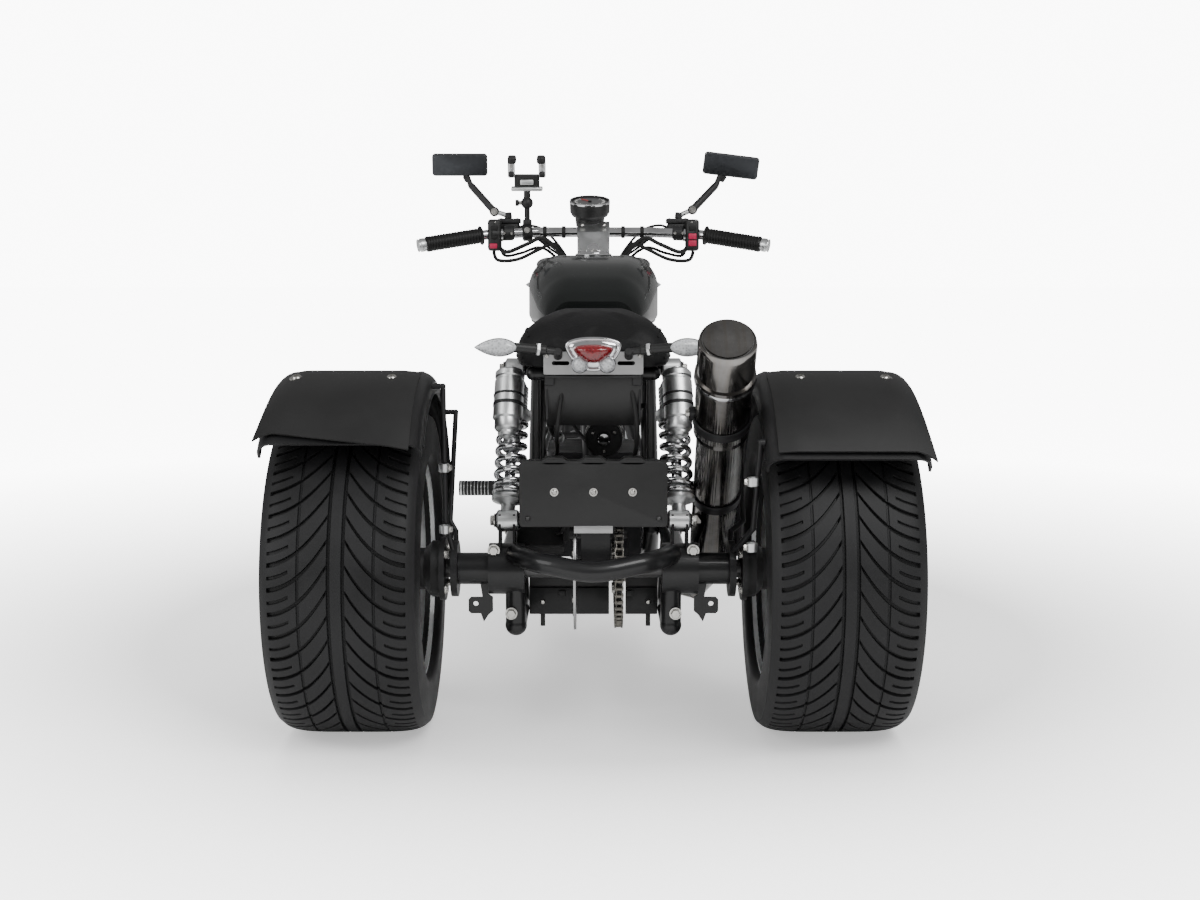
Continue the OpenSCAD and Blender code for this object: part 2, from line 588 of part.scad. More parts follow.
// ---------------------------------------------------------------- suspension and pegs
shock_top = from_axle(131, shock_pin_dy, seat_rail_z);
shock_foot = from_axle(141, 0, 345);
module on_shock() {
    d = sub(shock_top, shock_foot);
    l = norm(d);
    translate(shock_foot) rotate([0, acos(d[2] / l), atan2(d[1], d[0])]) children();
}
shock_len = norm(sub(shock_top, shock_foot));
spring_lo = 52;
spring_hi = 178;
function on_axis(t) = along(shock_foot, shock_top, t);
can_offset = [6, 56, 12];
module shock_absorbers() color("#c9cacb") both_sides() difference() {
    union() {
        on_shock() {
            translate([0, 0, 9]) cylinder(r = 7, h = shock_len - 20);
            translate([0, 0, 90]) cylinder(r = 13, h = spring_hi - 84);
            translate([0, 0, spring_lo - 12]) cylinder(r = spring_d / 2 + 2, h = 12 - seat_gap);
            translate([0, 0, spring_hi + seat_gap]) cylinder(r = spring_d / 2 - 1, h = 34);
            translate([0, 0, 24]) cylinder(r = 11, h = spring_lo - 34);
        }
        translate(add(shock_top, [-10, 0, 0])) disc_x(0, 22, 14);
        translate(shock_foot) disc_x(-eye_gap + seat_gap, eye_gap - seat_gap, 13);
        rod(add(on_axis(0.58), can_offset), add(on_axis(0.93), can_offset), 25);
        rod(on_axis(0.73), add(on_axis(0.73), can_offset), 10);
    }
    translate(from_axle(0, shock_pin_dy, seat_rail_z)) disc_x(90, 160, shock_pin_r + seat_gap);
    translate(shock_foot) disc_x(-20, 20, shock_pin_r + seat_gap);
}
module shock_springs() color("#d4d5d6") both_sides() on_shock() translate([0, 0, spring_lo]) difference() {
    cylinder(r = spring_d / 2, h = spring_hi - spring_lo);
    translate([0, 0, -1]) cylinder(r = spring_d / 2 - 9, h = spring_hi - spring_lo + 2);
}
peg_y = rear_y - 1000;
module foot_pegs() color("#c4c5c6") both_sides() difference() {
    union() {
        translate([0, peg_y, 253]) disc_x(220, 305, 17);
        tube_run([[rail_x, peg_y, rail_z], [176, peg_y, 246], [222, peg_y, 253]], 9);
    }
    rod(down_route[3], down_route[4], rail_r + seat_gap);
}

// ---------------------------------------------------------------- steering
leg_x = fork_spread / 2;
leg_r = 24;
tube_r = 18;
tube_top = 612;
low_clamp = head_low - 27;
high_clamp = head_high + 5;
clamp_h = 22;
module clamp_plate() linear_extrude(clamp_h) union() {
    for (s = [-1, 1]) translate([s * leg_x, 0]) circle(r = 29);
    translate([0, fork_offset]) circle(r = 30);
    polygon([[-leg_x, -20], [leg_x, -20], [leg_x, 24], [24, fork_offset + 24], [-24, fork_offset + 24],
        [-leg_x, 24]]);
}
module fork_clamps() color("#202122") on_fork() difference() {
    union() {
        translate([0, 0, low_clamp]) clamp_plate();
        translate([0, 0, high_clamp]) clamp_plate();
        translate([0, fork_offset, low_clamp + 1]) cylinder(r = stem_r, h = high_clamp - low_clamp);
    }
    for (s = [-1, 1]) translate([s * leg_x, 0, low_clamp - 10]) cylinder(r = tube_r + seat_gap, h = 250);
}
module fork_legs() color("#a9abad") on_fork() {
    for (s = [-1, 1]) translate([s * leg_x, 0, 0]) {
        translate([0, 0, -28]) cylinder(r = leg_r, h = 270);
        translate([0, 0, 200]) cylinder(r = tube_r, h = tube_top - 200);
    }
    disc_x(-leg_x, leg_x, 10);
}
bar_y = 55;
bar_z = 723;
bar_half = bar_w / 2;
function bar_point(x, back, up) = add(fork_point(0, bar_y, bar_z), [x, back, up]);
bar_route = [bar_point(120, 0, 0), bar_point(232, 14, -5), bar_point(bar_half, 62, -28)];
function flip(p) = [-p[0], p[1], p[2]];
module handlebar() color("#c6c7c8") {
    tube_run([flip(bar_route[2]), flip(bar_route[1]), flip(bar_route[0]), bar_route[0], bar_route[1],
        bar_route[2]], bar_d / 2);
    both_sides() rod(along(bar_route[1], bar_route[2], 0.995), along(bar_route[1], bar_route[2], 1.12), 15);
}
grip_r = 17;
grip_from = 0.11;
module grips() color("#141414") both_sides() difference() {
    rod(along(bar_route[1], bar_route[2], grip_from), along(bar_route[1], bar_route[2], 0.99), grip_r);
    rod(bar_route[1], along(bar_route[1], bar_route[2], 1.1), bar_d / 2 + seat_gap);
}
riser_top = bar_z + 13;
module bar_riser() color("#a7a8a9") on_fork() difference() {
    translate([-36, bar_y - 24, high_clamp + clamp_h + seat_gap])
        cube([72, 44, riser_top - high_clamp - clamp_h - seat_gap]);
    translate([0, bar_y, bar_z]) disc_x(-50, 50, bar_d / 2 + seat_gap);
    translate([-17, bar_y + 10, 640]) cube([34, 12, 50]);
}
lever_route = [bar_point(206, -36, 0), bar_point(238, -44, -6), bar_point(bar_half - 6, 8, -30)];
module levers() color("#2b2b2c") both_sides() difference() {
    union() {
        rod(bar_point(176, 7, -2), bar_point(202, 11, -3), 17);
        box_at(bar_point(164, -50, -14), bar_point(212, -10, 20));
        tube_run(lever_route, 6.5);
        translate(lever_route[2]) sphere(r = 8);
    }
    rod(bar_route[0], bar_route[1], bar_d / 2 + seat_gap);
}
module switch_pods() color("#232324") both_sides() difference() {
    union() {
        translate(bar_point(217, 12, 0)) box_at([-11, -16, -40], [11, 20, 26]);
        rod(bar_point(206, 11, -4), bar_point(229, 14, -5), 20);
    }
    rod(bar_route[0], bar_route[1], bar_d / 2 + seat_gap);
    box_at(bar_point(160, -52, -16), bar_point(212.3, -9.7, 22));
    rod(lever_route[0], lever_route[1], 7);
}
mirror_size = [124, 18, 50];
module mirror_head(tilt) {
    rotate([0, tilt, 0]) rotate([-8, 0, 0]) translate([0, 0, -mirror_size[2] / 2])
        round_box(mirror_size, 8);
}
module mirror_stem(hand, low) {
    tube_run([bar_point(hand * 190, -26, 20.5), bar_point(hand * 193, -28, 38), bar_point(hand * 222, -30, low),
        bar_point(hand * 276, -40, 106), bar_point(hand * 284, -38, 132)], 6);
    translate(bar_point(hand * 222, -30, low)) rotate([90, 0, 0]) cylinder(r = 11, h = 14, center = true);
}
module mirrors() color("#3a3c3e") {
    mirror_stem(1, 46);
    mirror_stem(-1, 50);
    translate(bar_point(299, -36, 150)) mirror_head(0);
    translate(bar_point(-308, -36, 148)) mirror_head(-7);
}
holder_x = 147;
module phone_holder() color("#2a2b2c") difference() {
    union() {
        rod(bar_point(holder_x - 12, 2, 0), bar_point(holder_x + 12, 4, -1), 20);
        rod(bar_point(holder_x, 4, 14), bar_point(holder_x, 12, 94), 6.5);
        translate(bar_point(holder_x, 9, 64)) sphere(r = 14);
        translate(bar_point(holder_x, 9, 64)) disc_x(0, 26, 7);
        translate(bar_point(holder_x, 14, 116)) rotate([-14, 0, 0]) {
            box_at([-30, -6, -24], [30, 6, 24]);
            for (s = [-1, 1]) box_at([s * 34 - 7, -8, -8], [s * 34 + 7, 16, 56]);
            box_at([-36, -6, -26], [36, 12, -16]);
        }
    }
    rod(bar_route[0], bar_route[1], bar_d / 2 + seat_gap);
}
gauge_r = 45;
module gauge() color("#1d1d1e") on_fork() {
    translate([8, 11, riser_top + seat_gap]) {
        cylinder(r = gauge_r - 6, h = 12);
        translate([0, 0, 8]) cylinder(r = gauge_r, h = 30);
    }
}
lamp_z = 500;
lamp_r = 74;
module headlight() color("#202122") on_fork() {
    translate([0, -60, lamp_z]) rotate([90 + rake, 0, 0]) {
        cylinder(r = lamp_r, h = 62);
        translate([0, 0, 60]) cylinder(r = lamp_r + 4, h = 14);
        translate([0, 0, -20]) cylinder(r = lamp_r - 26, h = 24);
    }
    for (s = [-1, 1]) difference() {
        box_at([s * (lamp_r + 6) - 4, -100, lamp_z - 20], [s * (lamp_r + 6) + 4, -6, lamp_z + 20]);
        translate([s * leg_x, 0, 300]) cylinder(r = tube_r + seat_gap, h = 250);
    }
    lamp_ears(lamp_z);
}
module lamp_ears(z) {
    for (s = [-1, 1]) translate([s * (lamp_r + 2), -90, z]) rotate([0, 90, 0])
        cylinder(r = 9, h = 16, center = true);
}
module front_signals() color("#d9dadb") on_fork() for (s = [-1, 1]) difference() {
    union() {
        translate([s * leg_x, 0, 535]) cylinder(r = 23, h = 14);
        rod([s * (leg_x + 20), -4, 542], [s * (leg_x + 50), -10, 542], 5.5);
        translate([s * (leg_x + 88), -10, 542]) rotate([90, 0, 0]) linear_extrude(24) intersection() {
            translate([0, -66]) circle(r = 79);
            translate([0, 66]) circle(r = 79);
        }
    }
    translate([s * leg_x, 0, 500]) cylinder(r = tube_r + seat_gap, h = 100);
}
front_fender_r = front_r + 20;
module front_fender() color("#0e0e0f") difference() {
    union() {
        at_front_axle() arc_channel(-34, 88, front_fender_r + 3, 3, -74, 74, 30, 46);
        on_fork() for (s = [-1, 1]) box_at([s * 76 - 4, -14, 232], [s * 76 + 4, 14, 250]);
    }
    on_fork() for (s = [-1, 1]) translate([s * leg_x, 0, 0]) cylinder(r = leg_r + seat_gap, h = 400);
}
module front_caliper() color("#3a3b3c") on_fork() difference() {
    union() {
        box_at([front_disc_x - 16, 56, 30], [front_disc_x + 18, 96, 96]);
        box_at([front_disc_x + 8, 10, 48], [leg_x + 4, 62, 74]);
    }
    translate([leg_x, 0, 0]) cylinder(r = leg_r + seat_gap, h = 200);
    disc_x(front_disc_x - 8, front_disc_x + 8, 110);
}

// ---------------------------------------------------------------- cables
// One cable on each side, from the lever's housing down to the upper fork clamp
cable_d = 8;
cable_route = [bar_point(163.2, -30, 2), bar_point(135, -34, 0), bar_point(100, -26, -26), bar_point(66, 0, -52),
    bar_point(52, -10, -90), bar_point(50, -34, -130)];
module cables() color("#121212") both_sides() tube_run(cable_route, cable_d / 2);

main_frame();
down_tubes();
seat_rails();
swing_arm();
rear_cross_tube();
tow_tabs();
engine();
cylinder_head();
air_filter();
battery_box();
exhaust_pipe();
muffler();
chain();
rear_panel();
fuel_tank();
seat();
tail_light();
plate_bracket();
rear_signals();
mudguard();
fender_left();
fender_right();
fender_flaps();
fender_stays();
shock_absorbers();
shock_springs();
foot_pegs();
rear_caliper();
fork_clamps();
fork_legs();
handlebar();
bar_riser();
grips();
levers();
switch_pods();
mirrors();
phone_holder();
gauge();
headlight();
front_signals();
front_fender();
front_caliper();
cables();
front_tyre();
front_rim();
front_disc();
axle_shaft();
rear_tyres();
rear_rims();
sprocket();
rear_disc();
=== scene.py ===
"""A small motorized trike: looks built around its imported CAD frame. Metres, +Z up, the front faces -Y."""
import json
from math import acos, copysign, cos, dist, pi, radians, sin, tan

import bmesh
import bpy
import numpy as np
from mathutils import Matrix, Vector


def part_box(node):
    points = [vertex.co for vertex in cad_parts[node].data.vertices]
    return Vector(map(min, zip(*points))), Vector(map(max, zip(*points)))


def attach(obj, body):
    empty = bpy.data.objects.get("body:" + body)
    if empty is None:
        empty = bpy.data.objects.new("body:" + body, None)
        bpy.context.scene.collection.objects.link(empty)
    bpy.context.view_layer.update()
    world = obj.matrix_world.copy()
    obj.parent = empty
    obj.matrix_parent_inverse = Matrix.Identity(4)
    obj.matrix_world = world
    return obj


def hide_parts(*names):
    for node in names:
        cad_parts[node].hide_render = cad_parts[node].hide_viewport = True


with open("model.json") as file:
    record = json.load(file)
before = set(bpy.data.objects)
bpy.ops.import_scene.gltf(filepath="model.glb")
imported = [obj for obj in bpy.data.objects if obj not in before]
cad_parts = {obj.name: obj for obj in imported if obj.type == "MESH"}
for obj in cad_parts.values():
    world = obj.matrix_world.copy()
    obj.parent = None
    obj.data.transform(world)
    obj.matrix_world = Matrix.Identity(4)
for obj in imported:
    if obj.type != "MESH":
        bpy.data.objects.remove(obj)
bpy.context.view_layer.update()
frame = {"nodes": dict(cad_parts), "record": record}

MM = 0.001
JOINTS = {j["name"]: j for j in frame["record"]["behaviour"]["joints"]}
REAR = Vector(JOINTS["rear_axle_spin"]["pos_m"])
FRONT = Vector(JOINTS["front_wheel_spin"]["pos_m"])
UP_FORK = Vector(JOINTS["steering_turn"]["axis"]).normalized()
BACK_FORK = Vector((1, 0, 0)).cross(UP_FORK) * -1
REAR_TYRE = dict(r_out=0.265, r_in=0.175, width=0.236, x=0.382)
FRONT_TYRE = dict(r_out=0.245, r_in=0.15, width=0.126)
TO_LEFT, TO_REAR = (1, 0, 0), (0, 1, 0)


def rear(x, back, z):
    """A point x across, back behind the rear axle and z above the floor, in millimetres."""
    return Vector((x * MM, REAR.y + back * MM, z * MM))


def fork(x, y, z):
    """A point in the fork's own frame, in millimetres: z up the steering direction, y to the rear."""
    return FRONT + Vector((x, 0, 0)) * MM + BACK_FORK * (y * MM) + UP_FORK * (z * MM)


def bar(x, back, up):
    """A point measured from the middle of the handlebar tube, in millimetres."""
    return fork(0, 55, 723) + Vector((x, back, up)) * MM


def mirrored(p):
    """The point on the other side of the trike."""
    return Vector((-p[0], p[1], p[2]))


# ------------------------------------------------------------------ materials
class Nodes:
    """A material's node tree with short calls for the few nodes used here."""

    def __init__(self, name):
        self.material = bpy.data.materials.new(name)
        self.material.use_nodes = True
        self.tree = self.material.node_tree
        self.shader = self.tree.nodes["Principled BSDF"]
        self.where = self.add("ShaderNodeTexCoord").outputs["Object"]

    def add(self, kind, **values):
        """A new node with these properties."""
        node = self.tree.nodes.new(kind)
        for key, value in values.items():
            setattr(node, key, value)
        return node

    def link(self, a, b):
        """Joins an output to an input."""
        self.tree.links.new(a, b)

    def scaled(self, scale):
        """Object coordinates stretched by a scale for each axis."""
        node = self.add("ShaderNodeMapping")
        node.inputs["Scale"].default_value = scale
        self.link(self.where, node.inputs["Vector"])
        return node.outputs["Vector"]

    def noise(self, scale, detail=3.0, rough=0.55, stretch=None):
        """Noise over the object."""
        node = self.add("ShaderNodeTexNoise")
        node.inputs["Scale"].default_value = scale
        node.inputs["Detail"].default_value = detail
        node.inputs["Roughness"].default_value = rough
        self.link(self.scaled(stretch) if stretch else self.where, node.inputs["Vector"])
        return node.outputs["Fac"]

    def cells(self, scale, feature="F1"):
        """Distance inside Voronoi cells."""
        node = self.add("ShaderNodeTexVoronoi", feature=feature)
        node.inputs["Scale"].default_value = scale
        self.link(self.where, node.inputs["Vector"])
        return node.outputs["Distance"]

    def ramp(self, fac, low, high, a=0.3, b=0.7):
        """Two colours blended as fac goes from a to b."""
        node = self.add("ShaderNodeValToRGB")
        node.color_ramp.elements[0].position = a
        node.color_ramp.elements[1].position = b
        node.color_ramp.elements[0].color = (*low, 1)
        node.color_ramp.elements[1].color = (*high, 1)
        self.link(fac, node.inputs["Fac"])
        return node.outputs["Color"]

    def span(self, fac, low, high, a=0.25, b=0.75):
        """A number from low to high as fac goes from a to b."""
        node = self.add("ShaderNodeMapRange")
        for key, value in (("From Min", a), ("From Max", b), ("To Min", low), ("To Max", high)):
            node.inputs[key].default_value = value
        self.link(fac, node.inputs["Value"])
        return node.outputs["Result"]

    def mix(self, fac, a, b):
        """Two colours mixed by fac."""
        node = self.add("ShaderNodeMix", data_type="RGBA")
        self.link(fac, node.inputs["Factor"])
        for key, value in (("A", a), ("B", b)):
            socket = [i for i in node.inputs if i.name == key and i.type == "RGBA"][0]
            if isinstance(value, tuple):
                socket.default_value = (*value, 1)
            else:
                self.link(value, socket)
        return [o for o in node.outputs if o.type == "RGBA"][0]

    def bump(self, height, strength, distance, under=None):
        """Surface relief, over another if given."""
        node = self.add("ShaderNodeBump")
        node.inputs["Strength"].default_value = strength
        node.inputs["Distance"].default_value = distance
        self.link(height, node.inputs["Height"])
        if under is not None:
            self.link(under, node.inputs["Normal"])
        return node.outputs["Normal"]

    def set(self, **values):
        """Sets or links the shader's inputs and returns the material."""
        for key, value in values.items():
            socket = self.shader.inputs[key.replace("_", " ")]
            if isinstance(value, bpy.types.NodeSocket):
                self.link(value, socket)
            else:
                socket.default_value = (*value, 1) if isinstance(value, tuple) and len(value) == 3 else value
        return self.material


def shade(color, factor):
    """The colour made darker or lighter."""
    return tuple(min(1.0, c * factor) for c in color)


def painted(name, color, rough, coat, peel):
    """Paint or powder coat: orange peel, faint dust in patches and a varying gloss."""
    n = Nodes(name)
    patches = n.noise(7.0, 4.0)
    fine = n.noise(420.0, 2.0)
    base = n.ramp(patches, shade(color, 0.75), shade(color, 1.5), 0.35, 0.75)
    return n.set(Base_Color=base, Roughness=n.span(patches, rough * 0.85, rough * 1.2), Coat_Weight=coat,
                 Coat_Roughness=0.06, Specular_IOR_Level=0.35, Normal=n.bump(fine, peel, 0.0008))


def metal(name, color, rough, grain=None, spots=0.15, bump=0.03):
    """Bare or plated metal: streaks along the grain, small stains and scratches."""
    n = Nodes(name)
    stain = n.noise(22.0, 5.0)
    streak = n.noise(60.0, 3.0, stretch=grain) if grain else n.noise(160.0, 3.0)
    base = n.ramp(stain, shade(color, 1 - spots), shade(color, 1.05), 0.3, 0.62)
    return n.set(Base_Color=base, Metallic=1.0, Roughness=n.span(streak, rough * 0.7, rough * 1.35),
                 Normal=n.bump(streak, bump, 0.0006))


def cast(name, color, rough, metallic=1.0):
    """Sand cast metal with a pebbled skin and darker hollows."""
    n = Nodes(name)
    pebble = n.cells(900.0)
    cloud = n.noise(16.0, 5.0)
    base = n.ramp(cloud, shade(color, 0.62), shade(color, 1.12), 0.3, 0.7)
    return n.set(Base_Color=base, Metallic=metallic, Roughness=n.span(cloud, rough * 1.2, rough * 0.85),
                 Normal=n.bump(pebble, 0.35, 0.0006))


def moulded(name, color, rough, grain=1400.0, strength=0.3):
    """Moulded plastic: a fine leather-like grain and slightly worn patches."""
    n = Nodes(name)
    pits = n.cells(grain)
    worn = n.noise(9.0, 4.0)
    base = n.ramp(worn, shade(color, 0.8), shade(color, 1.35), 0.3, 0.75)
    return n.set(Base_Color=base, Roughness=n.span(worn, rough * 0.88, rough * 1.12),
                 Normal=n.bump(pits, strength, 0.0004))


def rubber(name, color, rough):
    """Tyre rubber: greyish bloom, dust in patches and a fine pebble."""
    n = Nodes(name)
    bloom = n.noise(11.0, 6.0, 0.65)
    fine = n.noise(900.0, 3.0)
    base = n.ramp(bloom, shade(color, 0.75), shade(color, 1.7), 0.35, 0.72)
    return n.set(Base_Color=base, Roughness=n.span(bloom, rough * 0.85, rough * 1.15),
                 Specular_IOR_Level=0.32, Normal=n.bump(fine, 0.25, 0.0005))


def vinyl(name, color, rough):
    """Seat vinyl: shallow leather creases over a fine grain, shinier where it is sat on."""
    n = Nodes(name)
    creases = n.cells(330.0, "SMOOTH_F1")
    grain = n.noise(1300.0, 2.0)
    polish = n.noise(5.0, 3.0)
    base = n.ramp(polish, shade(color, 0.8), shade(color, 1.4), 0.3, 0.7)
    relief = n.bump(creases, 0.35, 0.0009, n.bump(grain, 0.2, 0.0004))
    return n.set(Base_Color=base, Roughness=n.span(polish, rough * 1.15, rough * 0.85), Normal=relief,
                 Specular_IOR_Level=0.22)


def lens(name, color, clearness, rough=0.12, facets=260.0):
    """Moulded lens: prism facets under a clear face, with a painted highlight along their ridges."""
    n = Nodes(name)
    prisms = n.cells(facets)
    # painted highlight: the base colour is lighter towards the ridges of the facets
    base = n.ramp(prisms, shade(color, 0.55), shade(color, 1.25), 0.05, 0.6)
    return n.set(Base_Color=base, Roughness=n.span(prisms, rough * 0.8, rough * 1.6), Coat_Weight=1.0,
                 Coat_Roughness=0.03, Transmission_Weight=clearness, IOR=1.5,
                 Normal=n.bump(prisms, 0.5, 0.0012))


def chrome_with_painted_reflection(name, color):
    """Dark chrome with a painted brown reflection mixed in as streaks down its length."""
    n = Nodes(name)
    cloud = n.noise(9.0, 5.0, 0.6)
    streak = n.noise(38.0, 4.0, stretch=(3.0, 0.25, 0.25))
    tint = n.ramp(cloud, shade(color, 0.42), color, 0.38, 0.66)
    # painted reflection: brown streaks mixed into the base colour stand in for the dark surroundings mirrored in
    # the chrome
    painted_brown_reflection = n.mix(n.span(streak, 0.0, 0.35, 0.45, 0.8), tint, (0.2, 0.15, 0.09))
    return n.set(Base_Color=painted_brown_reflection, Metallic=1.0, Roughness=n.span(cloud, 0.1, 0.22),
                 Normal=n.bump(n.noise(70.0, 3.0), 0.04, 0.001))


M = {
    "frame": painted("black_powder_coat", (0.007, 0.007, 0.0075), 0.36, 0.25, 0.12),
    "satin": painted("satin_black_paint", (0.009, 0.009, 0.0095), 0.44, 0.1, 0.1),
    "flap": moulded("flap_black", (0.007, 0.007, 0.007), 0.52, 1100.0, 0.2),
    "gloss": painted("gloss_black_paint", (0.0025, 0.0034, 0.0031), 0.2, 0.35, 0.02),
    "alloy": cast("cast_alloy", (0.42, 0.42, 0.42), 0.42),
    "dark_cast": cast("black_castings", (0.01, 0.01, 0.0105), 0.45, 0.0),
    "case": cast("engine_case", (0.05, 0.05, 0.052), 0.48),
    "plastic": moulded("black_plastic", (0.008, 0.008, 0.008), 0.44),
    "chrome": metal("bright_chrome", (0.78, 0.78, 0.79), 0.07, spots=0.22),
    "spring": metal("spring_chrome", (0.8, 0.8, 0.81), 0.16, spots=0.18),
    "silver": metal("satin_silver", (0.8, 0.81, 0.81), 0.36, (40.0, 40.0, 1.0), 0.12),
    "brushed": metal("brushed_plate", (0.44, 0.44, 0.44), 0.38, (1.0, 60.0, 60.0), 0.12, 0.1),
    "steel": metal("zinc_bolts", (0.62, 0.61, 0.58), 0.26, spots=0.3),
    "dark_steel": metal("oiled_steel", (0.1, 0.1, 0.1), 0.38, spots=0.4),
    "disc": metal("turned_disc", (0.46, 0.46, 0.46), 0.3, (120.0, 2.0, 2.0), 0.2, 0.08),
    "chain": metal("chain_links", (0.2, 0.19, 0.17), 0.36, spots=0.5),
    # dark chrome with a painted brown reflection
    "exhaust": chrome_with_painted_reflection("dark_chrome", (0.34, 0.33, 0.32)),
    "cap_grey": cast("muffler_cap", (0.075, 0.075, 0.073), 0.6, 0.0),
    "tyre": rubber("tyre_rubber", (0.0075, 0.0075, 0.008), 0.55),
    "rubber": rubber("plain_rubber", (0.007, 0.007, 0.007), 0.6),
    "grip": rubber("grip_rubber", (0.006, 0.006, 0.006), 0.5),
    "seat": vinyl("seat_vinyl", (0.006, 0.006, 0.0063), 0.55),
    "red_lens": lens("red_lens", (0.13, 0.0025, 0.005), 0.05),
    "clear_lens": lens("clear_lens", (0.5, 0.51, 0.52), 0.25, 0.14, 260.0),
    "lamp_glass": lens("lamp_glass", (0.8, 0.82, 0.84), 0.55, 0.05, 120.0),
    "red_switch": moulded("red_switch", (0.36, 0.008, 0.05), 0.38, 900.0, 0.1),
    "mirror_shell": moulded("mirror_shell", (0.03, 0.031, 0.033), 0.34, 1500.0, 0.15),
    "mirror_glass": metal("mirror_glass", (0.06, 0.063, 0.068), 0.38, spots=0.05, bump=0.01),
    "dial": painted("gauge_dial", (0.02, 0.02, 0.021), 0.3, 0.6, 0.02),
    "marks": painted("dial_marks", (0.62, 0.62, 0.6), 0.45, 0.1, 0.02),
    "white_tag": moulded("white_tag", (0.72, 0.72, 0.7), 0.45, 800.0, 0.1),
    "red_tag": moulded("red_tag", (0.5, 0.035, 0.03), 0.45, 800.0, 0.1),
}


FLOOR_GLOW_NEAR, FLOOR_GLOW_FAR = 0.5, 9.0


def studio_floor_material():
    """Pale floor that fades into the white surroundings with distance, for the camera only."""
    n = Nodes("pale_floor")
    distance = n.add("ShaderNodeVectorMath", operation="LENGTH")
    n.link(n.where, distance.inputs[0])
    far = n.span(distance.outputs["Value"], FLOOR_GLOW_NEAR, FLOOR_GLOW_FAR, 0.9, 3.2)
    seen = n.add("ShaderNodeMath", operation="MULTIPLY")
    n.link(far, seen.inputs[0])
    n.link(n.add("ShaderNodeLightPath").outputs["Is Camera Ray"], seen.inputs[1])
    speckle = n.ramp(n.noise(60.0, 4.0), (0.8, 0.8, 0.8), (0.84, 0.84, 0.84))
    return n.set(Base_Color=speckle, Roughness=0.8, Emission_Color=(1, 1, 1), Emission_Strength=seen.outputs[0])


M["floor"] = studio_floor_material()


# ------------------------------------------------------------------ shapes: (vertices, faces) pairs
LEVEL = 1e-7  # metres: an edge with less rise than this lies flat
SHARP = 1.2  # radians: the least angle of an edge that is rounded on a pierced plate


def frame_of(direction, hint=(0, 0, 1)):
    """Matrix whose Z runs along direction."""
    z = Vector(direction).normalized()
    h = Vector(hint)
    if abs(z.dot(h.normalized())) > 0.95:
        h = Vector((0, 1, 0)) if abs(z.y) < 0.9 else Vector((1, 0, 0))
    x = h.cross(z).normalized()
    return Matrix((x, z.cross(x), z)).transposed().to_4x4()


def moved(shape, matrix):
    """The shape moved by a matrix."""
    verts, faces = shape
    m = np.array(matrix)
    return verts @ m[:3, :3].T + m[:3, 3], faces


def placed(shape, at, direction=(0, 0, 1), hint=(0, 0, 1)):
    """The shape moved to a point, with its Z turned to a direction."""
    return moved(shape, Matrix.Translation(Vector(at)) @ frame_of(direction, hint))


def flipped(shape):
    """The mirror image in x."""
    verts, faces = shape
    return verts * np.array([-1, 1, 1]), [f[::-1] for f in faces]


def tube(rings):
    """Closed skin over rings of equal length, with a face at each end."""
    n = len(rings[0])
    faces = grid_faces(len(rings), n, False, True)
    faces += [tuple(range(n))[::-1], tuple((len(rings) - 1) * n + i for i in range(n))]
    return np.array([p for r in rings for p in r], float), faces


def grid_faces(rows, cols, wrap_rows=False, wrap_cols=False):
    """Faces over rows and columns of points."""
    out = []
    for i in range(rows if wrap_rows else rows - 1):
        k = (i + 1) % rows
        for j in range(cols if wrap_cols else cols - 1):
            l = (j + 1) % cols
            out.append((i * cols + j, i * cols + l, k * cols + l, k * cols + j))
    return out


def lathe(profile, steps=48, closed=False):
    """Turns (radius, height) points about Z. A closed profile makes a ring."""
    p = np.array(profile, float)
    a = np.linspace(0, 2 * pi, steps, endpoint=False)
    verts = np.stack([np.outer(np.cos(a), p[:, 0]), np.outer(np.sin(a), p[:, 0]),
                      np.tile(p[:, 1], (steps, 1))], axis=2).reshape(-1, 3)
    faces = grid_faces(steps, len(p), True, closed)
    if not closed:
        n = len(p)
        faces.append(tuple(i * n for i in range(steps))[::-1])
        faces.append(tuple(i * n + n - 1 for i in range(steps)))
    return verts, faces


def smooth_path(points, steps=8, closed=False):
    """Catmull-Rom curve through the points."""
    p = [Vector(q) for q in points]
    n = len(p)
    out = []
    for i in range(n if closed else n - 1):
        a, b, c, d = (p[(i + k) % n] if closed else p[min(max(i + k, 0), n - 1)] for k in (-1, 0, 1, 2))
        for k in range(steps):
            t = k / steps
            out.append(0.5 * ((2 * b) + (c - a) * t + (2 * a - 5 * b + 4 * c - d) * t * t
                              + (3 * b - a - 3 * c + d) * t ** 3))
    if not closed:
        out.append(p[-1])
    return out


def bent_path(points, radius, steps=6):
    """Straight runs with round bends, as a bent tube has."""
    p = [Vector(q) for q in points]
    out = [p[0]]
    for a, b, c in zip(p, p[1:], p[2:]):
        u, v = (a - b), (c - b)
        turn = pi - u.angle(v)
        cut = min(radius * tan(turn / 2), 0.48 * u.length, 0.48 * v.length)
        start, end = b + u.normalized() * cut, b + v.normalized() * cut
        for k in range(steps + 1):
            t = k / steps
            out.append((1 - t) ** 2 * start + 2 * t * (1 - t) * b + t * t * end)
    out.append(p[-1])
    return out


